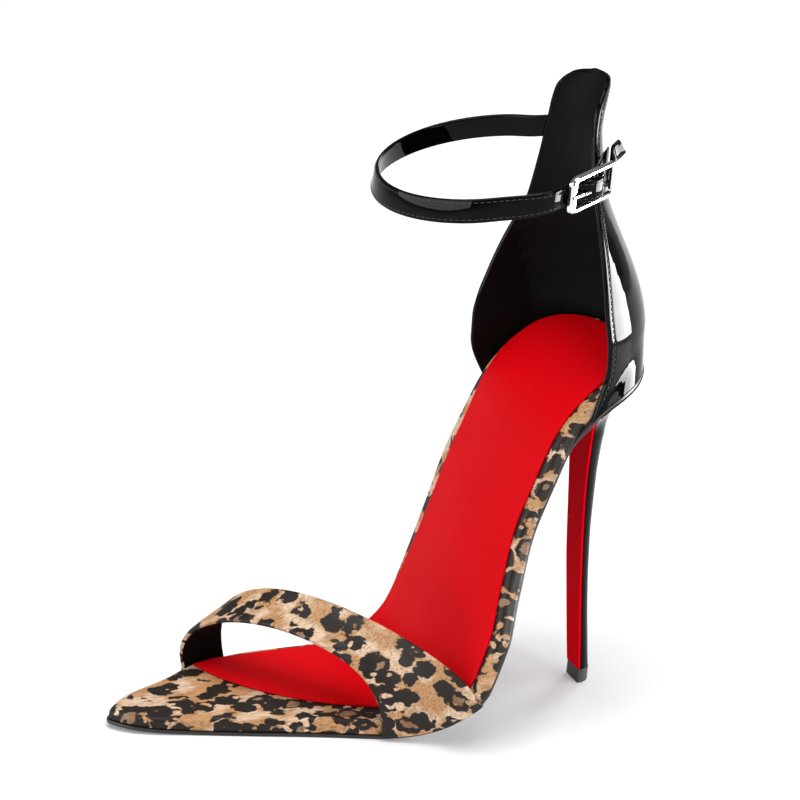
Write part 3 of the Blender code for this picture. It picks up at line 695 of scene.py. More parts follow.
def normals_of(grid):
    """Unit normals of a grid of points, pointing away from its middle."""
    normal = np.cross(np.gradient(grid, axis=0), np.gradient(grid, axis=1))
    normal /= np.linalg.norm(normal, axis=2)[..., None]
    centre = grid.mean(axis=(0, 1))
    return normal if np.sum(normal * (grid - centre)) > 0 else -normal


def wall_rings(grid, thickness, sink=0.0):
    """Rings round a wall that goes inwards from a grid of points; sink lowers the outer face."""
    sink = np.broadcast_to(sink, grid.shape[:2])
    radius = thickness / 2
    normal = normals_of(grid)
    rings = []
    turn = np.radians((60, 30, 0, -30, -60))
    for row, out, low in zip(grid, normal, sink):
        inner = row - out * thickness
        ends = []
        for k, near in ((0, 1), (-1, -2)):
            ahead = row[k] - row[near]
            ahead /= np.linalg.norm(ahead)
            middle = (row[k] + inner[k]) / 2
            ends.append([middle + radius * (cos(a) * ahead + sin(a) * out[k]) for a in turn])
        start, end = ends
        outer = row - out * low[:, None]
        rings.append(np.concatenate([start[2::-1], outer, end, inner[::-1], start[:2:-1]]))
    return rings


def round_cap(rings, radius, last):
    """Further rings that close a wall's end with a round edge."""
    ring, before = (rings[-1], rings[-2]) if last else (rings[0], rings[1])
    paired = np.roll(ring[::-1], 1, axis=0)
    middle = (ring + paired) / 2
    ahead = middle - (before + np.roll(before[::-1], 1, axis=0)) / 2
    ahead /= np.linalg.norm(ahead, axis=1)[:, None]
    cap = [middle + (ring - middle) * cos(a) + ahead * radius * sin(a) for a in np.radians((25, 50, 70, 84))]
    return rings + cap if last else cap[::-1] + rings


def edged(count, ease):
    """Shares from 0 to 1 that lie closer together near both ends."""
    t = np.linspace(0, 1, count)
    return t - ease * np.sin(2 * pi * t) / (2 * pi)


def thinned(length, up):
    """A height above the underside, lower near the toe, where the footbed is thinner."""
    share = np.maximum(up - FOOTBED_UP, 0) / FOOTBED_THICKNESS
    return up - TOE_THINNING * share * (1 - smooth(length / SOLE_LENGTH / THIN_END))


def build_outsole():
    wide = COUNTER_WALL - OUTSOLE_MARGIN
    fronts = np.where(np.arange(len(RIM)) < len(STATIONS), WING_FRONTS["outer"], WING_FRONTS["inner"])
    share = RIM[:, 0] / SOLE_LENGTH
    waist = WAIST_RECESS * smooth((share - WAIST_START) / WAIST_REACH)
    under = OUTSOLE_MARGIN - waist + (wide + waist) * smooth((share - fronts + WING_REACH) / WING_REACH)
    edge = ((0.0, 0.35), (0.06, 0.15), (0.2, 0.03), (0.4, 0.0), (0.85, 0.0), (0.95, 0.04), (1.0, 0.12))
    rings = []
    for up, inset in edge:
        rim = offset(RIM, under - inset * OUTSOLE_THICKNESS)
        rings.append(place(rim[:, 0], rim[:, 1], up * OUTSOLE_THICKNESS))
    stand_for(loft("sole_leather", rings, "sole_edge_leather"), "outsole")


def build_footbed():
    edge = ((0.0, -0.06), (0.05, 0.0), (0.35, 0.0), (0.62, 0.0), (0.84, -0.2), (0.95, -0.55), (1.0, -1.0))
    rings = []
    for up, out in spline(edge, 16):
        rim = offset(RIM, out * FOOTBED_EDGE)
        rings.append(place(rim[:, 0], rim[:, 1], thinned(rim[:, 0], FOOTBED_UP + up * FOOTBED_THICKNESS)))
    stand_for(loft("wrapped_footbed", rings, "leopard_hair"), "footbed")


def build_sock():
    """The lining's front comes to a point near the inner side; behind it, it follows the outline."""
    start = SOCK_FRONT["share"][0] * SOLE_LENGTH
    end = FOOTBED_LENGTH - SOCK_MARGIN
    length = stations(start, end, 0.02 * SOLE_LENGTH, SEAT_ROUND - SOCK_MARGIN, STATION_STEP)
    share = length / SOLE_LENGTH
    outer = across_at("outer", -SOCK_MARGIN, length)
    inner = across_at("inner", -SOCK_MARGIN, length) + read(SOCK_WAIST, "extra", share) * BALL_WIDTH
    ahead = share < SOCK_FRONT["share"][-1]
    outer[ahead] = np.minimum(outer, read(SOCK_FRONT, "lateral", share) * BALL_WIDTH)[ahead]
    inner[ahead] = np.maximum(inner, -read(SOCK_FRONT, "medial", share) * BALL_WIDTH)[ahead]
    outer[-1] = inner[-1] = (outer[-2] + inner[-2]) / 2
    loop = loop_of(length, outer, inner)
    rings = []
    for up, out in ((0.0, 0.0), (0.55, 0.0), (0.78, -0.1), (0.93, -0.3), (1.0, -0.6)):
        rim = offset(loop, out * SOCK_THICKNESS * smooth((loop[:, 0] - start) / (6 * MM)))
        height = thinned(rim[:, 0], FOOTBED_TOP) + GAP + up * SOCK_THICKNESS
        rings.append(place(rim[:, 0], rim[:, 1], height))
    stand_for(loft("red_insole", rings, "red_lining_leather"), "sock_lining")


def toe_strap_grid():
    """Lines from the toe strap's front edge to its rear edge, one after another over the arch."""
    out = TOE_STRAP_WALL + GAP
    low = FOOTBED_UP
    high = FOOTBED_UP + 0.8 * FOOTBED_THICKNESS
    rows = []
    for share in np.linspace(0, 1, 49):
        values = {name: read(TOE_STRAP, name, share) for name in TOE_STRAP}
        ends = []
        for side, column in (("outer", "lateral"), ("inner", "medial")):
            length = values[column] * SOLE_LENGTH
            across = across_at(side, out, length)
            ends.append([place(length, across, up) for up in (low, (low + high) / 2, high)])
        outer, inner = ends
        pull = np.array([ARCH_LEAN, -values["lateral_forward"], values["lateral_rise"]]) * BALL_WIDTH
        push = np.array([-ARCH_LEAN, -values["medial_forward"], values["medial_rise"]]) * BALL_WIDTH
        t = np.linspace(0, 1, 121)[:, None]
        arch = ((1 - t) ** 3 * outer[2] + 3 * (1 - t) ** 2 * t * (outer[2] + pull)
                + 3 * (1 - t) * t * t * (inner[2] + push) + t ** 3 * inner[2])
        line = np.concatenate([outer[:2], along(arch, np.linspace(0, 1, 121)), inner[1::-1]])
        rows.append(along(line, np.linspace(0, 1, 141)))
    return np.swapaxes(np.array(rows), 0, 1)


def trimmed(line, start, end, shares):
    """Points at shares of a line that is cut short at both ends."""
    run = lengths_of(line)[-1]
    return along(line, start / run + shares * (1 - (start + end) / run))


def distances(grid):
    """Each point's distance from the nearer end of its row."""
    run = np.array([lengths_of(row) for row in grid])
    return np.minimum(run, run[:, -1:] - run)


def inside_flags(columns):
    """Which of a wall ring's points belong to the inner face."""
    return np.concatenate([np.zeros(3 + columns + 4, bool), np.ones(columns + 2, bool), np.zeros(1, bool)])


def build_toe_strap():
    columns = 70
    radius = TOE_STRAP_WALL / 2
    grid = np.array([trimmed(line, radius, radius, edged(columns, 0.7)) for line in toe_strap_grid()])
    rings = wall_rings(grid, TOE_STRAP_WALL)
    piece = loft("toe_band", rings, "leopard_hair", "dark_lining_leather", inside=inside_flags(columns))
    stand_for(piece, "toe_strap")


SEAT_HALF = (read(OUTLINE, "lateral", 0.9) + read(OUTLINE, "medial", 0.9)) / 2 * BALL_WIDTH
SEAT_MIDDLE = (read(OUTLINE, "lateral", 0.9) - read(OUTLINE, "medial", 0.9)) / 2 * BALL_WIDTH
SEAT_TOP = place(FOOTBED_LENGTH, 0.0, FOOTBED_TOP)
SEAT_REAR = SEAT_TOP[1]


def half_section(share, side):
    """One side of the counter's outer face at a share of its height, in plan: back's middle to front edge."""
    width = read(COUNTER, "width", share) * SEAT_HALF
    back = SEAT_REAR + read(COUNTER, "back", share) * SEAT_HALF
    front = SEAT_REAR + read(COUNTER, "lateral" if side == "outer" else "medial", share) * SEAT_HALF
    depth = min(read(COUNTER, "rounding", share) * SEAT_HALF, back - front)
    angle = min(pi / 2, 2 * atan(depth / width))
    turn = np.linspace(0, angle, 25)
    x = width * np.sin(turn) / sin(angle)
    y = back - depth * (1 - np.cos(turn)) / (1 - cos(angle))
    if back - depth - front > 0.1 * MM:
        x = np.append(x, width)
        y = np.append(y, front)
    sign = 1 if side == "outer" else -1
    return np.stack([SEAT_MIDDLE + sign * x, y], axis=-1)


def joined(outer, inner):
    """A row from the outer front round the back to the inner one, given its halves from the back."""
    return np.concatenate([outer[::-1], inner[1:]])


def counter_level(share):
    """A row of the counter's outer face at a share of its height, from the outer front to the inner one."""
    halves = []
    for side, drop in (("outer", "lateral_drop"), ("inner", "medial_drop")):
        part = np.linspace(0, 1, COUNTER_HALF)
        plan = along(half_section(share, side), part)
        fall = read(COUNTER, drop, share) * part ** 2 * COUNTER_HEIGHT
        height = SEAT_TOP[2] + share * COUNTER_HEIGHT - fall
        halves.append(np.column_stack([plan, height]))
    return joined(*halves)


def rim_from(side, start):
    """One side of the sole's outline, moved out by the counter's wall, from a length to the seat."""
    rim = rim_side(side, COUNTER_WALL)
    length = np.concatenate([[start], rim[rim[:, 0] > start + 1 * MM][:, 0]])
    return np.column_stack([length, np.interp(length, rim[:, 0], rim[:, 1])])


def sole_level():
    """The counter's lowest row, along the sole's edge."""
    halves = []
    for side in ("outer", "inner"):
        length, across = rim_from(side, WING_FRONTS[side] * SOLE_LENGTH).T
        halves.append(along(place(length, across, FOOTBED_UP)[::-1], np.linspace(0, 1, COUNTER_HALF)))
    return joined(*halves)


def counter_grid():
    """The counter's outer face: rows from the sole to the tab's top, each cut short for its round edges."""
    radius = COUNTER_WALL / 2
    across, up = COUNTER_MESH
    rows = [sole_level()] + [counter_level(share) for share in COUNTER_ROWS]
    level = np.array([trimmed(row, radius, radius, edged(across, 0.85)) for row in rows])
    lines = [trimmed(drawn(line), 0, radius, np.linspace(0, 1, up)) for line in np.swapaxes(level, 0, 1)]
    return np.swapaxes(np.array(lines), 0, 1)


def build_counter(sizes):
    grid = counter_grid()
    out = distances(grid)
    sink = sizes.trough * np.exp(-((out + COUNTER_WALL / 2 - sizes.stitch_inset) / (0.5 * MM)) ** 2)
    rings = round_cap(wall_rings(grid, COUNTER_WALL, sink), COUNTER_WALL / 2, True)
    flags = inside_flags(grid.shape[1])
    piece = loft("patent_counter", rings, "patent_leather", "dark_lining_leather", inside=flags)
    stand_for(piece, "counter")


def counter_stitches(inset):
    """The stitches' line on the counter: up its outer edge, across below the tab's top and down the inner."""
    grid = counter_grid()
    normal = normals_of(grid)
    near = inset - COUNTER_WALL / 2
    height = grid[:, grid.shape[1] // 2, 2]
    top = next(i for i in range(len(grid) - 1, 0, -1) if height[-1] - height[i] > near)
    line = {"outer": [], "inner": []}
    for row, out in zip(grid[4:top + 1], normal[4:top + 1]):
        run = lengths_of(row)
        lifted = row - out * EDGE_SINK
        for side, at in (("outer", near), ("inner", run[-1] - near)):
            line[side].append([np.interp(at, run, column) for column in lifted.T])
    row = grid[top] - normal[top] * EDGE_SINK
    across = trimmed(row, near, near, np.linspace(0, 1, 20))
    return np.concatenate([line["outer"], across[1:-1], line["inner"][::-1]])


def heel_section(width, front, back, count):
    """A level section (x, y), straight across its front and round at its back, from the back's middle."""
    turn = np.concatenate([np.linspace(pi / 2, 0, count + 1), np.linspace(pi, pi / 2, count + 1)[:-1]])
    return np.stack([width * np.cos(turn), front + (back - front) * np.sin(turn)], axis=-1)


def heel_rings(setback, count):
    """The heel's sections from the tip's top to the sole, its front moved back by setback."""
    rings = []
    for share in np.linspace(HEEL["share"][0], HEEL["share"][-1], 40):
        width = read(HEEL, "width", share) * HEEL_WIDTH / 2
        front = read(HEEL, "front", share) * HEEL_DEPTH + setback
        back = read(HEEL, "back", share) * HEEL_DEPTH
        plan = heel_section(width, front, back, count)
        height = TIP_HEIGHT + GAP if share == HEEL["share"][0] else share * HEEL_HEIGHT
        rings.append(np.column_stack([plan, np.full(len(plan), height)]))
    start = BREAST_LINE * SOLE_LENGTH + setback
    outer, inner = (along(rim_from(side, start), np.linspace(0, 1, count + 1)) for side in ("outer", "inner"))
    loop = np.concatenate([outer[::-1], inner[:-1]])
    seat = place(loop[:, 0], loop[:, 1], -GAP)
    slim = rings[-1]
    for step in np.linspace(0, 1, 33)[1:]:
        plan = slim[:, :2] + (seat[:, :2] - slim[:, :2]) * step ** HEEL_FLARE
        height = slim[:, 2] + (seat[:, 2] - slim[:, 2]) * step
        rings.append(np.column_stack([plan, height]))
    return rings


def build_heel():
    count = 32
    body = heel_rings(BREAST_THICKNESS + GAP, count)
    stand_for(loft("patent_heel", body, "patent_leather"), "heel")
    plate = []
    for near, far in zip(heel_rings(0.0, count), heel_rings(BREAST_THICKNESS, count)):
        plate.append(np.array([near[count], near[count + 1], far[count + 1], far[count]]))
    stand_for(loft("red_breast", plate, "red_lacquer_coat"), "heel_breast")
    rings = []
    for height, inset in ((0.0, 0.35), (0.08, 0.16), (0.22, 0.04), (0.4, 0.0), (TIP_HEIGHT / MM, 0.0)):
        width = 0.5 * HEEL_WIDTH - inset * MM
        front, back = -0.55 * HEEL_DEPTH + inset * MM, 0.45 * HEEL_DEPTH - inset * MM
        plan = heel_section(width, front, back, 24)
        rings.append(np.column_stack([plan, np.full(len(plan), height * MM)]))
    stand_for(loft("rubber_tip", rings, "tip_rubber"), "heel_tip")


class Collar:
    """Where the ankle strap meets the counter, and the loop and the buckle that follow from it."""

    def __init__(self):
        self.height = SEAT_TOP[2] + STRAP_AT * COUNTER_HEIGHT
        self.inner = self.line("inner")
        self.outer = self.line("outer")
        across, deep = LOOP_WIDTH / 2, LOOP_LENGTH / 2
        edge = self.inner[-1]
        self.middle = edge + np.array([LOOP_ACROSS * across, -LOOP_AHEAD * deep])
        self.reach = np.array([across, deep])
        self.bar = self.middle + np.array([BUCKLE_ACROSS * across, BUCKLE_BACK * deep])
        self.forward = np.array([-sin(BUCKLE_TURN), cos(BUCKLE_TURN)])
        self.outward = np.array([cos(BUCKLE_TURN), sin(BUCKLE_TURN)])

    def line(self, side):
        """The strap's middle line on the counter's outer face in plan, back to front edge."""
        plan = half_section(STRAP_AT, side)
        run = np.gradient(plan, axis=0)
        out = np.stack([-run[:, 1], run[:, 0]], axis=-1) / np.linalg.norm(run, axis=1)[:, None]
        away = np.where(out[:, :1] * (1 if side == "outer" else -1) < 0, -1, 1)
        return plan + away * out * (3 * GAP + STRAP_THICKNESS / 2)

    def lift(self, plan):
        """A point of the loop at its height: the loop rises towards the counter."""
        return np.array([*plan, self.height + LOOP_SLOPE * (plan[1] - self.inner[-1][1])])

    def at_buckle(self, back, out, up=0.0):
        """A point of the buckle: behind its front bar, outwards of its plane and above its middle."""
        return self.lift(self.bar + back * self.forward + out * self.outward) + np.array([0, 0, up])


def strap_outs():
    """How far out of the buckle's plane the strap's middle lies, under the outer bars and over the centre."""
    under = -(BUCKLE_BAR + 2 * GAP + STRAP_THICKNESS / 2)
    fold = CENTRE_BAR + GAP + CARRIER_THICKNESS
    return under, -CENTRE_BAR_INSET + fold + 2 * GAP + STRAP_THICKNESS / 2


def rounded_box(half, side, radius):
    """A rounded rectangle's points (side, up), in order round it."""
    points = []
    for a, b, first in ((1, 1, 0), (-1, 1, 90), (-1, -1, 180), (1, -1, 270)):
        for turn in np.radians(np.linspace(first, first + 90, 5)):
            point = (a * (side - radius) + radius * cos(turn), b * (half - radius) + radius * sin(turn))
            points.append(point)
    return np.array(points)


def strap_axes(spine, lean):
    """Unit outward and upward directions at each point of a strap's middle line."""
    leans = np.broadcast_to(lean, len(spine))
    axes = []
    for tangent, slant in zip(np.gradient(spine, axis=0), leans):
        outward = np.array([tangent[1], -tangent[0], 0.0]) / np.hypot(tangent[0], tangent[1])
        tangent = tangent / np.linalg.norm(tangent)
        upward = np.cross(outward, tangent)
        upward = upward if upward[2] > 0 else -upward
        axes.append((outward * cos(slant) + upward * sin(slant), upward * cos(slant) - outward * sin(slant)))
    return axes


def band(name, spine, height, thickness, lean, surface):
    """A strap that stands on edge along its middle line, with rounded edges."""
    rings = []
    for point, tall, (out, up) in zip(spine, np.broadcast_to(height, len(spine)), strap_axes(spine, lean)):
        section = rounded_box(tall / 2, thickness / 2, 0.45 * thickness)
        rings.append(point + section[:, :1] * out + section[:, 1:] * up)
    rings = [np.roll(ring, -2, axis=0) for ring in rings]
    return loft(name, rings, surface, angle=50)


def ankle_strap():
    """The ankle strap's middle line, its height and its lean."""
    collar = Collar()
    under, over = strap_outs()
    points = [collar.lift(plan) for plan in along(collar.inner, np.array(STRAP_STARTS))]
    for turn in np.radians(np.arange(*LOOP_TURNS)):
        points.append(collar.lift(collar.middle + collar.reach * np.array([-cos(turn), -sin(turn)])))
    middle = BUCKLE_LENGTH / 2
    for back, out in ((-BUCKLE_APPROACH, under), (-STRAP_BEND, under), (STRAP_BEND, under),
                      (middle - STRAP_BEND, over), (middle + STRAP_BEND, over),
                      (BUCKLE_LENGTH - STRAP_BEND, under), (BUCKLE_LENGTH + STRAP_BEND, under)):
        points.append(collar.at_buckle(back, out))
    tip = collar.outer[TIP_POINT]
    for across, back, up in STRAP_TIP:
        points.append(collar.lift(tip + np.array([across, back])) + np.array([0, 0, up]))
    count = 440
    share = np.linspace(0, 1, count)
    narrow = smooth((share - NARROW_START) / NARROW_REACH)
    height = STRAP_HEIGHT + (STRAP_IN_BUCKLE - STRAP_HEIGHT) * narrow
    height = height * (1 - TIP_NARROWING * smooth((share - TIP_START) / TIP_REACH))
    lean = STRAP_LEAN * (2 - smooth(share / LEAN_END) - smooth((share - LEAN_START) / LEAN_REACH))
    return spline(points, count), height, lean


def build_straps():
    spine, height, lean = ankle_strap()
    strap = band("ankle_band", spine, height, STRAP_THICKNESS, lean, "patent_leather")
    stand_for(strap, "ankle_strap")
    collar = Collar()
    radius = CENTRE_BAR + GAP + CARRIER_THICKNESS / 2
    middle = BUCKLE_LENGTH / 2
    under = strap_outs()[0] - STRAP_THICKNESS / 2 - 2 * GAP - CARRIER_THICKNESS / 2
    points = [collar.lift(plan) for plan in along(collar.outer, np.array(CARRIER_STARTS))]
    points.append(collar.at_buckle(BUCKLE_LENGTH - 2 * MM, under - 3 * GAP - CARRIER_THICKNESS))
    for turn in np.radians(np.arange(-90, 91, 30)):
        points.append(collar.at_buckle(middle - radius * cos(turn), radius * sin(turn) - CENTRE_BAR_INSET))
    points.append(collar.at_buckle(BUCKLE_LENGTH - 2 * MM, under - GAP))
    points.append(collar.at_buckle(BUCKLE_LENGTH + 1 * MM, under - GAP))
    spine = spline(points, 200)
    holder = band("buckle_holder", spine, CARRIER_HEIGHT, CARRIER_THICKNESS, 0.0, "patent_leather")
    stand_for(holder, "buckle_strap")


def strap_stitches(inset):
    """The stitches' lines along the ankle strap's upper and lower edge."""
    spine, height, lean = ankle_strap()
    lines = []
    for side in (1, -1):
        line = []
        for point, tall, (out, up) in zip(spine, height, strap_axes(spine, lean)):
            line.append(point + out * (STRAP_THICKNESS / 2) + up * side * (tall / 2 - inset))
        lines.append(np.array(line)[6:-8])
    return lines


def build_buckle():
    """A bevelled frame, heavier at its front bar, with a centre bar and the prong that rests on the front."""
    collar = Collar()
    half = BUCKLE_HEIGHT / 2
    near, far, high = BUCKLE_CORNER, BUCKLE_LENGTH - BUCKLE_CORNER, half - BUCKLE_CORNER
    path = []
    for middle, up, first in ((far, high, 0), (near, high, 90), (near, -high, 180), (far, -high, 270)):
        for turn in np.radians(np.linspace(first, first + 90, 10)):
            normal = np.array([cos(turn), sin(turn)])
            path.append((np.array([middle, up]) + BUCKLE_CORNER * normal, normal))
    section = np.array(((1.0, 0.35), (0.95, 0.5), (0.5, 0.95), (0.35, 1.0), (-0.35, 1.0), (-0.5, 0.95),
                        (-0.95, 0.5), (-1.0, 0.35), (-1.0, -0.6), (-0.7, -0.9), (0.7, -0.9), (1.0, -0.6)))
    rings = []
    for (back, up), normal in path:
        heavy = 1 + 0.3 * (1 - smooth(back / (4 * MM)))
        ring = []
        for a, b in section * BUCKLE_BAR:
            ring.append(collar.at_buckle(back + a * heavy * normal[0], b * (1 + (heavy - 1) * (b > 0)),
                                         up + a * normal[1]))
        rings.append(np.array(ring))
    turns = np.linspace(0, 2 * pi, 16, endpoint=False)
    bar = []
    for up in (-half, half):
        bar.append(np.array([collar.at_buckle(BUCKLE_LENGTH / 2 + CENTRE_BAR * cos(a),
                                              CENTRE_BAR * sin(a) - CENTRE_BAR_INSET, up) for a in turns]))
    piece = loft("buckle_bars", rings, "polished_steel", closed=True, angle=20, more=(bar,))
    stand_for(piece, "buckle_frame")
    rest = BUCKLE_BAR + GAP + PRONG_RADIUS
    middle = BUCKLE_LENGTH / 2
    spine = spline([(0.62 * middle, rest + 0.5 * MM), (0.45 * middle, rest + 0.35 * MM),
                    (0.2 * middle, rest + 0.1 * MM), (0.0, rest), (-0.15 * middle, rest - 0.1 * MM)], 24)
    rings = []
    for k, (back, out) in enumerate(spine):
        radius = PRONG_RADIUS * (1 - 0.35 * smooth((k - 18) / 5))
        ring = [collar.at_buckle(back, out + radius * cos(a), radius * sin(a)) for a in turns]
        rings.append(np.array(ring))
    stand_for(loft("buckle_pin", rings, "polished_steel", angle=50), "buckle_prong")


def socket(group, name, kind, value=None, output=False):
    item = group.interface.new_socket(name=name, in_out="OUTPUT" if output else "INPUT", socket_type=kind)
    if value is not None:
        item.default_value = value
    return item


def stitch_nodes(sizes):
    """A node group that lays stitches along a line: its inputs are named sizes and the thread's material."""
    group = bpy.data.node_groups.new("stitches_along_line", "GeometryNodeTree")
    socket(group, "Line", "NodeSocketGeometry")
    inputs = {name: socket(group, name, "NodeSocketFloat", value) for name, value in (
        ("Pitch", sizes.stitch_pitch), ("Length", sizes.stitch_length), ("Width", sizes.stitch_width))}
    inputs["Thread"] = socket(group, "Thread", "NodeSocketMaterial")
    socket(group, "Stitches", "NodeSocketGeometry", output=True)
    new = group.nodes.new
    start, end = new("NodeGroupInput"), new("NodeGroupOutput")
    curve = new("GeometryNodeMeshToCurve")
    points = new("GeometryNodeResampleCurve")
    points.mode = "LENGTH"
    ball = new("GeometryNodeMeshUVSphere")
    ball.inputs["Segments"].default_value = 8
    ball.inputs["Rings"].default_value = 6
    ball.inputs["Radius"].default_value = 0.5
    shape = new("ShaderNodeCombineXYZ")
    turn = new("FunctionNodeAlignRotationToVector")
    turn.axis = "X"
    tangent = new("GeometryNodeInputTangent")
    laid = new("GeometryNodeInstanceOnPoints")
    real = new("GeometryNodeRealizeInstances")
    dressed = new("GeometryNodeSetMaterial")
    given = start.outputs
    for source, target in (
        (given["Line"], curve.inputs[0]),
        (curve.outputs[0], points.inputs[0]),
        (given["Pitch"], points.inputs["Length"]),
        (given["Length"], shape.inputs[0]),
        (given["Width"], shape.inputs[1]),
        (given["Width"], shape.inputs[2]),
        (tangent.outputs[0], turn.inputs["Vector"]),
        (points.outputs[0], laid.inputs["Points"]),
        (ball.outputs["Mesh"], laid.inputs["Instance"]),
        (turn.outputs[0], laid.inputs["Rotation"]),
        (shape.outputs[0], laid.inputs["Scale"]),
        (laid.outputs[0], real.inputs[0]),
        (real.outputs[0], dressed.inputs["Geometry"]),
        (given["Thread"], dressed.inputs["Material"]),
        (dressed.outputs[0], end.inputs[0]),
    ):
        group.links.new(source, target)
    return group, inputs


def stitched(name, line, group, inputs, sizes):
    """A plain mesh of stitches along a line of points."""
    mesh = bpy.data.meshes.new(name + "_line")
    mesh.from_pydata([tuple(p) for p in line], [(i, i + 1) for i in range(len(line) - 1)], [])
    guide = placed(name + "_line", mesh)
    sewing = guide.modifiers.new("stitches", "NODES")
    sewing.node_group = group
    for label, value in (("Pitch", sizes.stitch_pitch), ("Length", sizes.stitch_length),
                         ("Width", sizes.stitch_width), ("Thread", look("black_thread"))):
        sewing[inputs[label].identifier] = value
    bpy.context.view_layer.update()
    made = bpy.data.meshes.new_from_object(guide.evaluated_get(bpy.context.evaluated_depsgraph_get()))
    bpy.data.objects.remove(guide)
    made.materials.clear()
    return finished(name, made, "black_thread", angle=60)


def build_stitches(sizes):
    group, inputs = stitch_nodes(sizes)
    upper, lower = strap_stitches(sizes.strap_inset)
    for name, line in (("counter_stitches", counter_stitches(sizes.stitch_inset)),
                       ("strap_upper_stitches", upper), ("strap_lower_stitches", lower)):
        stand_for(stitched(name, line, group, inputs, sizes), None)
    bpy.data.node_groups.remove(group)


def softbox(name, place_at, aim, width, height, power, glint=False):
    """An area light; a glint is only seen in reflections."""
    data = bpy.data.lights.new(name, "AREA")
    data.shape = "RECTANGLE"
    data.size = width
    data.size_y = height
    data.energy = power
    lamp = placed(name, data)
    lamp.location = place_at
    lamp.rotation_euler = (Vector(aim) - Vector(place_at)).to_track_quat("-Z", "Y").to_euler()
    lamp.visible_camera = False
    lamp.visible_diffuse = not glint


def build_stage(colours):
    mesh = bpy.data.meshes.new("floor")
    mesh.from_pydata([(-4, -4, 0), (4, -4, 0), (4, 4, 0), (-4, 4, 0)], [], [(0, 1, 2, 3)])
    paint = Paint("floor")
    haze = paint.noise(paint.place(), 3.0, 2.0)
    paint.set("Base Color", paint.mix(haze * 0.05, colours.floor, [0.97 * part for part in colours.floor]))
    paint.set("Roughness", 0.75)
    paint.set("Emission Color", colours.floor)
    paint.set("Emission Strength", 0.2)
    mesh.materials.append(paint.look)
    placed("floor", mesh)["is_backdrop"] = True

    world = bpy.data.worlds.new("studio")
    world.use_nodes = True
    sky = world.node_tree.nodes["Background"]
    sky.inputs["Color"].default_value = (1.0, 1.0, 1.0, 1.0)
    sky.inputs["Strength"].default_value = 0.2
    bpy.context.scene.world = world
    softbox("overhead", (0.15, -0.25, 1.7), (0.0, -0.08, 0.05), 1.5, 1.3, 27.0)
    softbox("side_box", (1.25, 0.62, 0.42), (0.03, -0.02, 0.15), 0.34, 0.8, 5.0)
    softbox("front_box", (0.35, -1.6, 0.9), (0.0, -0.1, 0.06), 0.9, 0.9, 7.0)
    softbox("back_box", (-0.9, 1.1, 0.6), (0.0, 0.0, 0.12), 0.5, 0.9, 9.0)
    softbox("heel_glint", (0.17, 0.43, 0.10), (0.03, 0.0, 0.16), 0.34, 0.17, 7.0, True)
    softbox("strap_glint", (0.2, -1.3, 0.35), (0.0, -0.05, 0.17), 2.2, 0.5, 18.0, True)
    bpy.context.scene.view_settings.view_transform = "Standard"

    back = Vector((sin(CAMERA_AZIMUTH) * cos(CAMERA_ELEVATION), -cos(CAMERA_AZIMUTH) * cos(CAMERA_ELEVATION),
                   sin(CAMERA_ELEVATION)))
    level = Vector((cos(CAMERA_AZIMUTH), sin(CAMERA_AZIMUTH), 0.0))
    above = back.cross(level)
    right = level * cos(CAMERA_ROLL) + above * sin(CAMERA_ROLL)
    upright = above * cos(CAMERA_ROLL) - level * sin(CAMERA_ROLL)
    data = bpy.data.cameras.new("camera")
    data.sensor_width = 36.0
    data.lens = CAMERA_LENS
    data.clip_start = 0.01
    camera = placed("camera", data)
    spot = CAMERA_TARGET + back * CAMERA_DISTANCE
    camera.matrix_world = Matrix.Translation(spot) @ Matrix((right, upright, back)).transposed().to_4x4()
    bpy.context.scene.camera = camera


class SANDAL_OT_sole(bpy.types.Operator):
    """Builds the outsole, the footbed in its printed cover and the red sock lining"""

    bl_idname = "sandal.sole"
    bl_label = "Sole"

    def execute(self, context):
        build_outsole()
        build_footbed()
        build_sock()
        return {"FINISHED"}


class SANDAL_OT_toe_strap(bpy.types.Operator):
    """Builds the printed strap over the toes"""

    bl_idname = "sandal.toe_strap"
    bl_label = "Toe strap"

    def execute(self, context):
        build_toe_strap()
        return {"FINISHED"}


class SANDAL_OT_counter(bpy.types.Operator):
    """Builds the patent counter with its tall tab"""

    bl_idname = "sandal.counter"
    bl_label = "Counter"

    def execute(self, context):
        build_counter(context.scene.sandal_sizes)
        return {"FINISHED"}


class SANDAL_OT_heel(bpy.types.Operator):
    """Builds the heel, its red front and its rubber tip"""

    bl_idname = "sandal.heel"
    bl_label = "Heel"

    def execute(self, context):
        build_heel()
        return {"FINISHED"}


class SANDAL_OT_straps(bpy.types.Operator):
    """Builds the ankle strap and the short strap that holds the buckle"""

    bl_idname = "sandal.straps"
    bl_label = "Straps"

    def execute(self, context):
        build_straps()
        return {"FINISHED"}


class SANDAL_OT_buckle(bpy.types.Operator):
    """Builds the buckle's frame and its prong"""

    bl_idname = "sandal.buckle"
    bl_label = "Buckle"

    def execute(self, context):
        build_buckle()
        return {"FINISHED"}


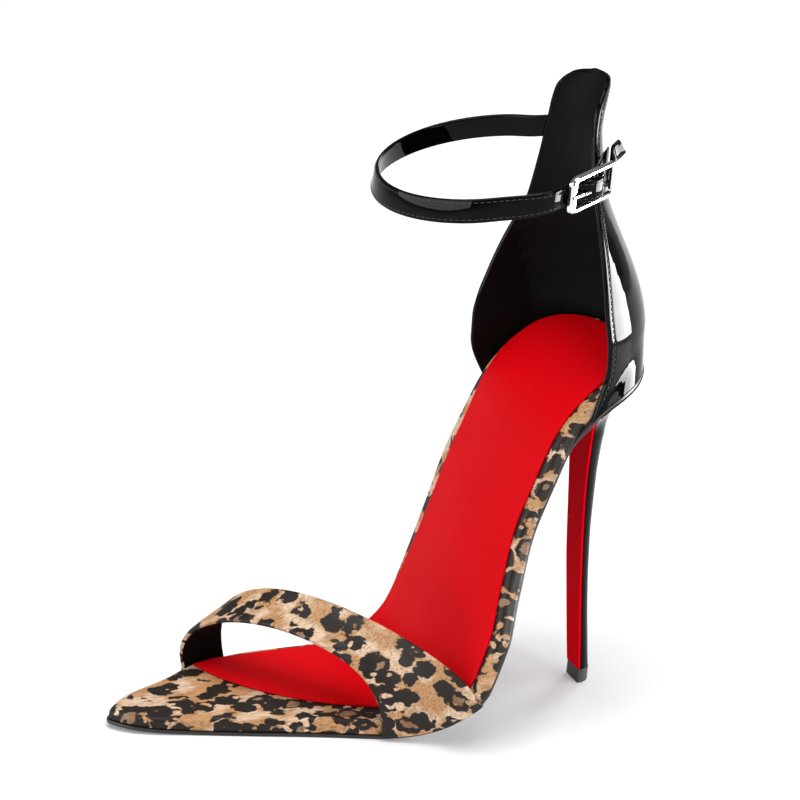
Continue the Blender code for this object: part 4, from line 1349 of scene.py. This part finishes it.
class SANDAL_OT_stitches(bpy.types.Operator):
    """Sews the stitches on the counter and the ankle strap"""

    bl_idname = "sandal.stitches"
    bl_label = "Stitches"

    def execute(self, context):
        build_stitches(context.scene.sandal_sizes)
        return {"FINISHED"}


class SANDAL_OT_stage(bpy.types.Operator):
    """Sets the floor, the light and the camera"""

    bl_idname = "sandal.stage"
    bl_label = "Stage"

    def execute(self, context):
        build_stage(context.scene.sandal_colours)
        return {"FINISHED"}


OPERATORS = (SANDAL_OT_sole, SANDAL_OT_toe_strap, SANDAL_OT_counter, SANDAL_OT_heel, SANDAL_OT_straps,
             SANDAL_OT_buckle, SANDAL_OT_stitches, SANDAL_OT_stage)


class SANDAL_PT_panel(bpy.types.Panel):
    """Lists the sandal's sizes, colours and pieces"""

    bl_idname = "SANDAL_PT_panel"
    bl_label = "High heel sandal"
    bl_space_type = "VIEW_3D"
    bl_region_type = "UI"
    bl_category = "Sandal"

    def draw(self, context):
        for group in (context.scene.sandal_sizes, context.scene.sandal_colours):
            box = self.layout.box()
            for name in group.__annotations__:
                box.prop(group, name)
        for operator in OPERATORS:
            self.layout.operator(operator.bl_idname)


CLASSES = (SandalSizes, SandalColours, *OPERATORS, SANDAL_PT_panel)


def register():
    for item in CLASSES:
        bpy.utils.register_class(item)
    bpy.types.Scene.sandal_sizes = PointerProperty(type=SandalSizes)
    bpy.types.Scene.sandal_colours = PointerProperty(type=SandalColours)


def unregister():
    del bpy.types.Scene.sandal_sizes
    del bpy.types.Scene.sandal_colours
    for item in reversed(CLASSES):
        bpy.utils.unregister_class(item)


def main():
    register()
    bpy.ops.sandal.sole()
    bpy.ops.sandal.toe_strap()
    bpy.ops.sandal.counter()
    bpy.ops.sandal.heel()
    bpy.ops.sandal.straps()
    bpy.ops.sandal.buckle()
    bpy.ops.sandal.stitches()
    bpy.ops.sandal.stage()
    boxes = {"load": BOX_AT_LOAD, "end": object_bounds()}
    boxes = {name: [list(corner) for corner in box] for name, box in boxes.items()}


if __name__ == "__main__":
    main()
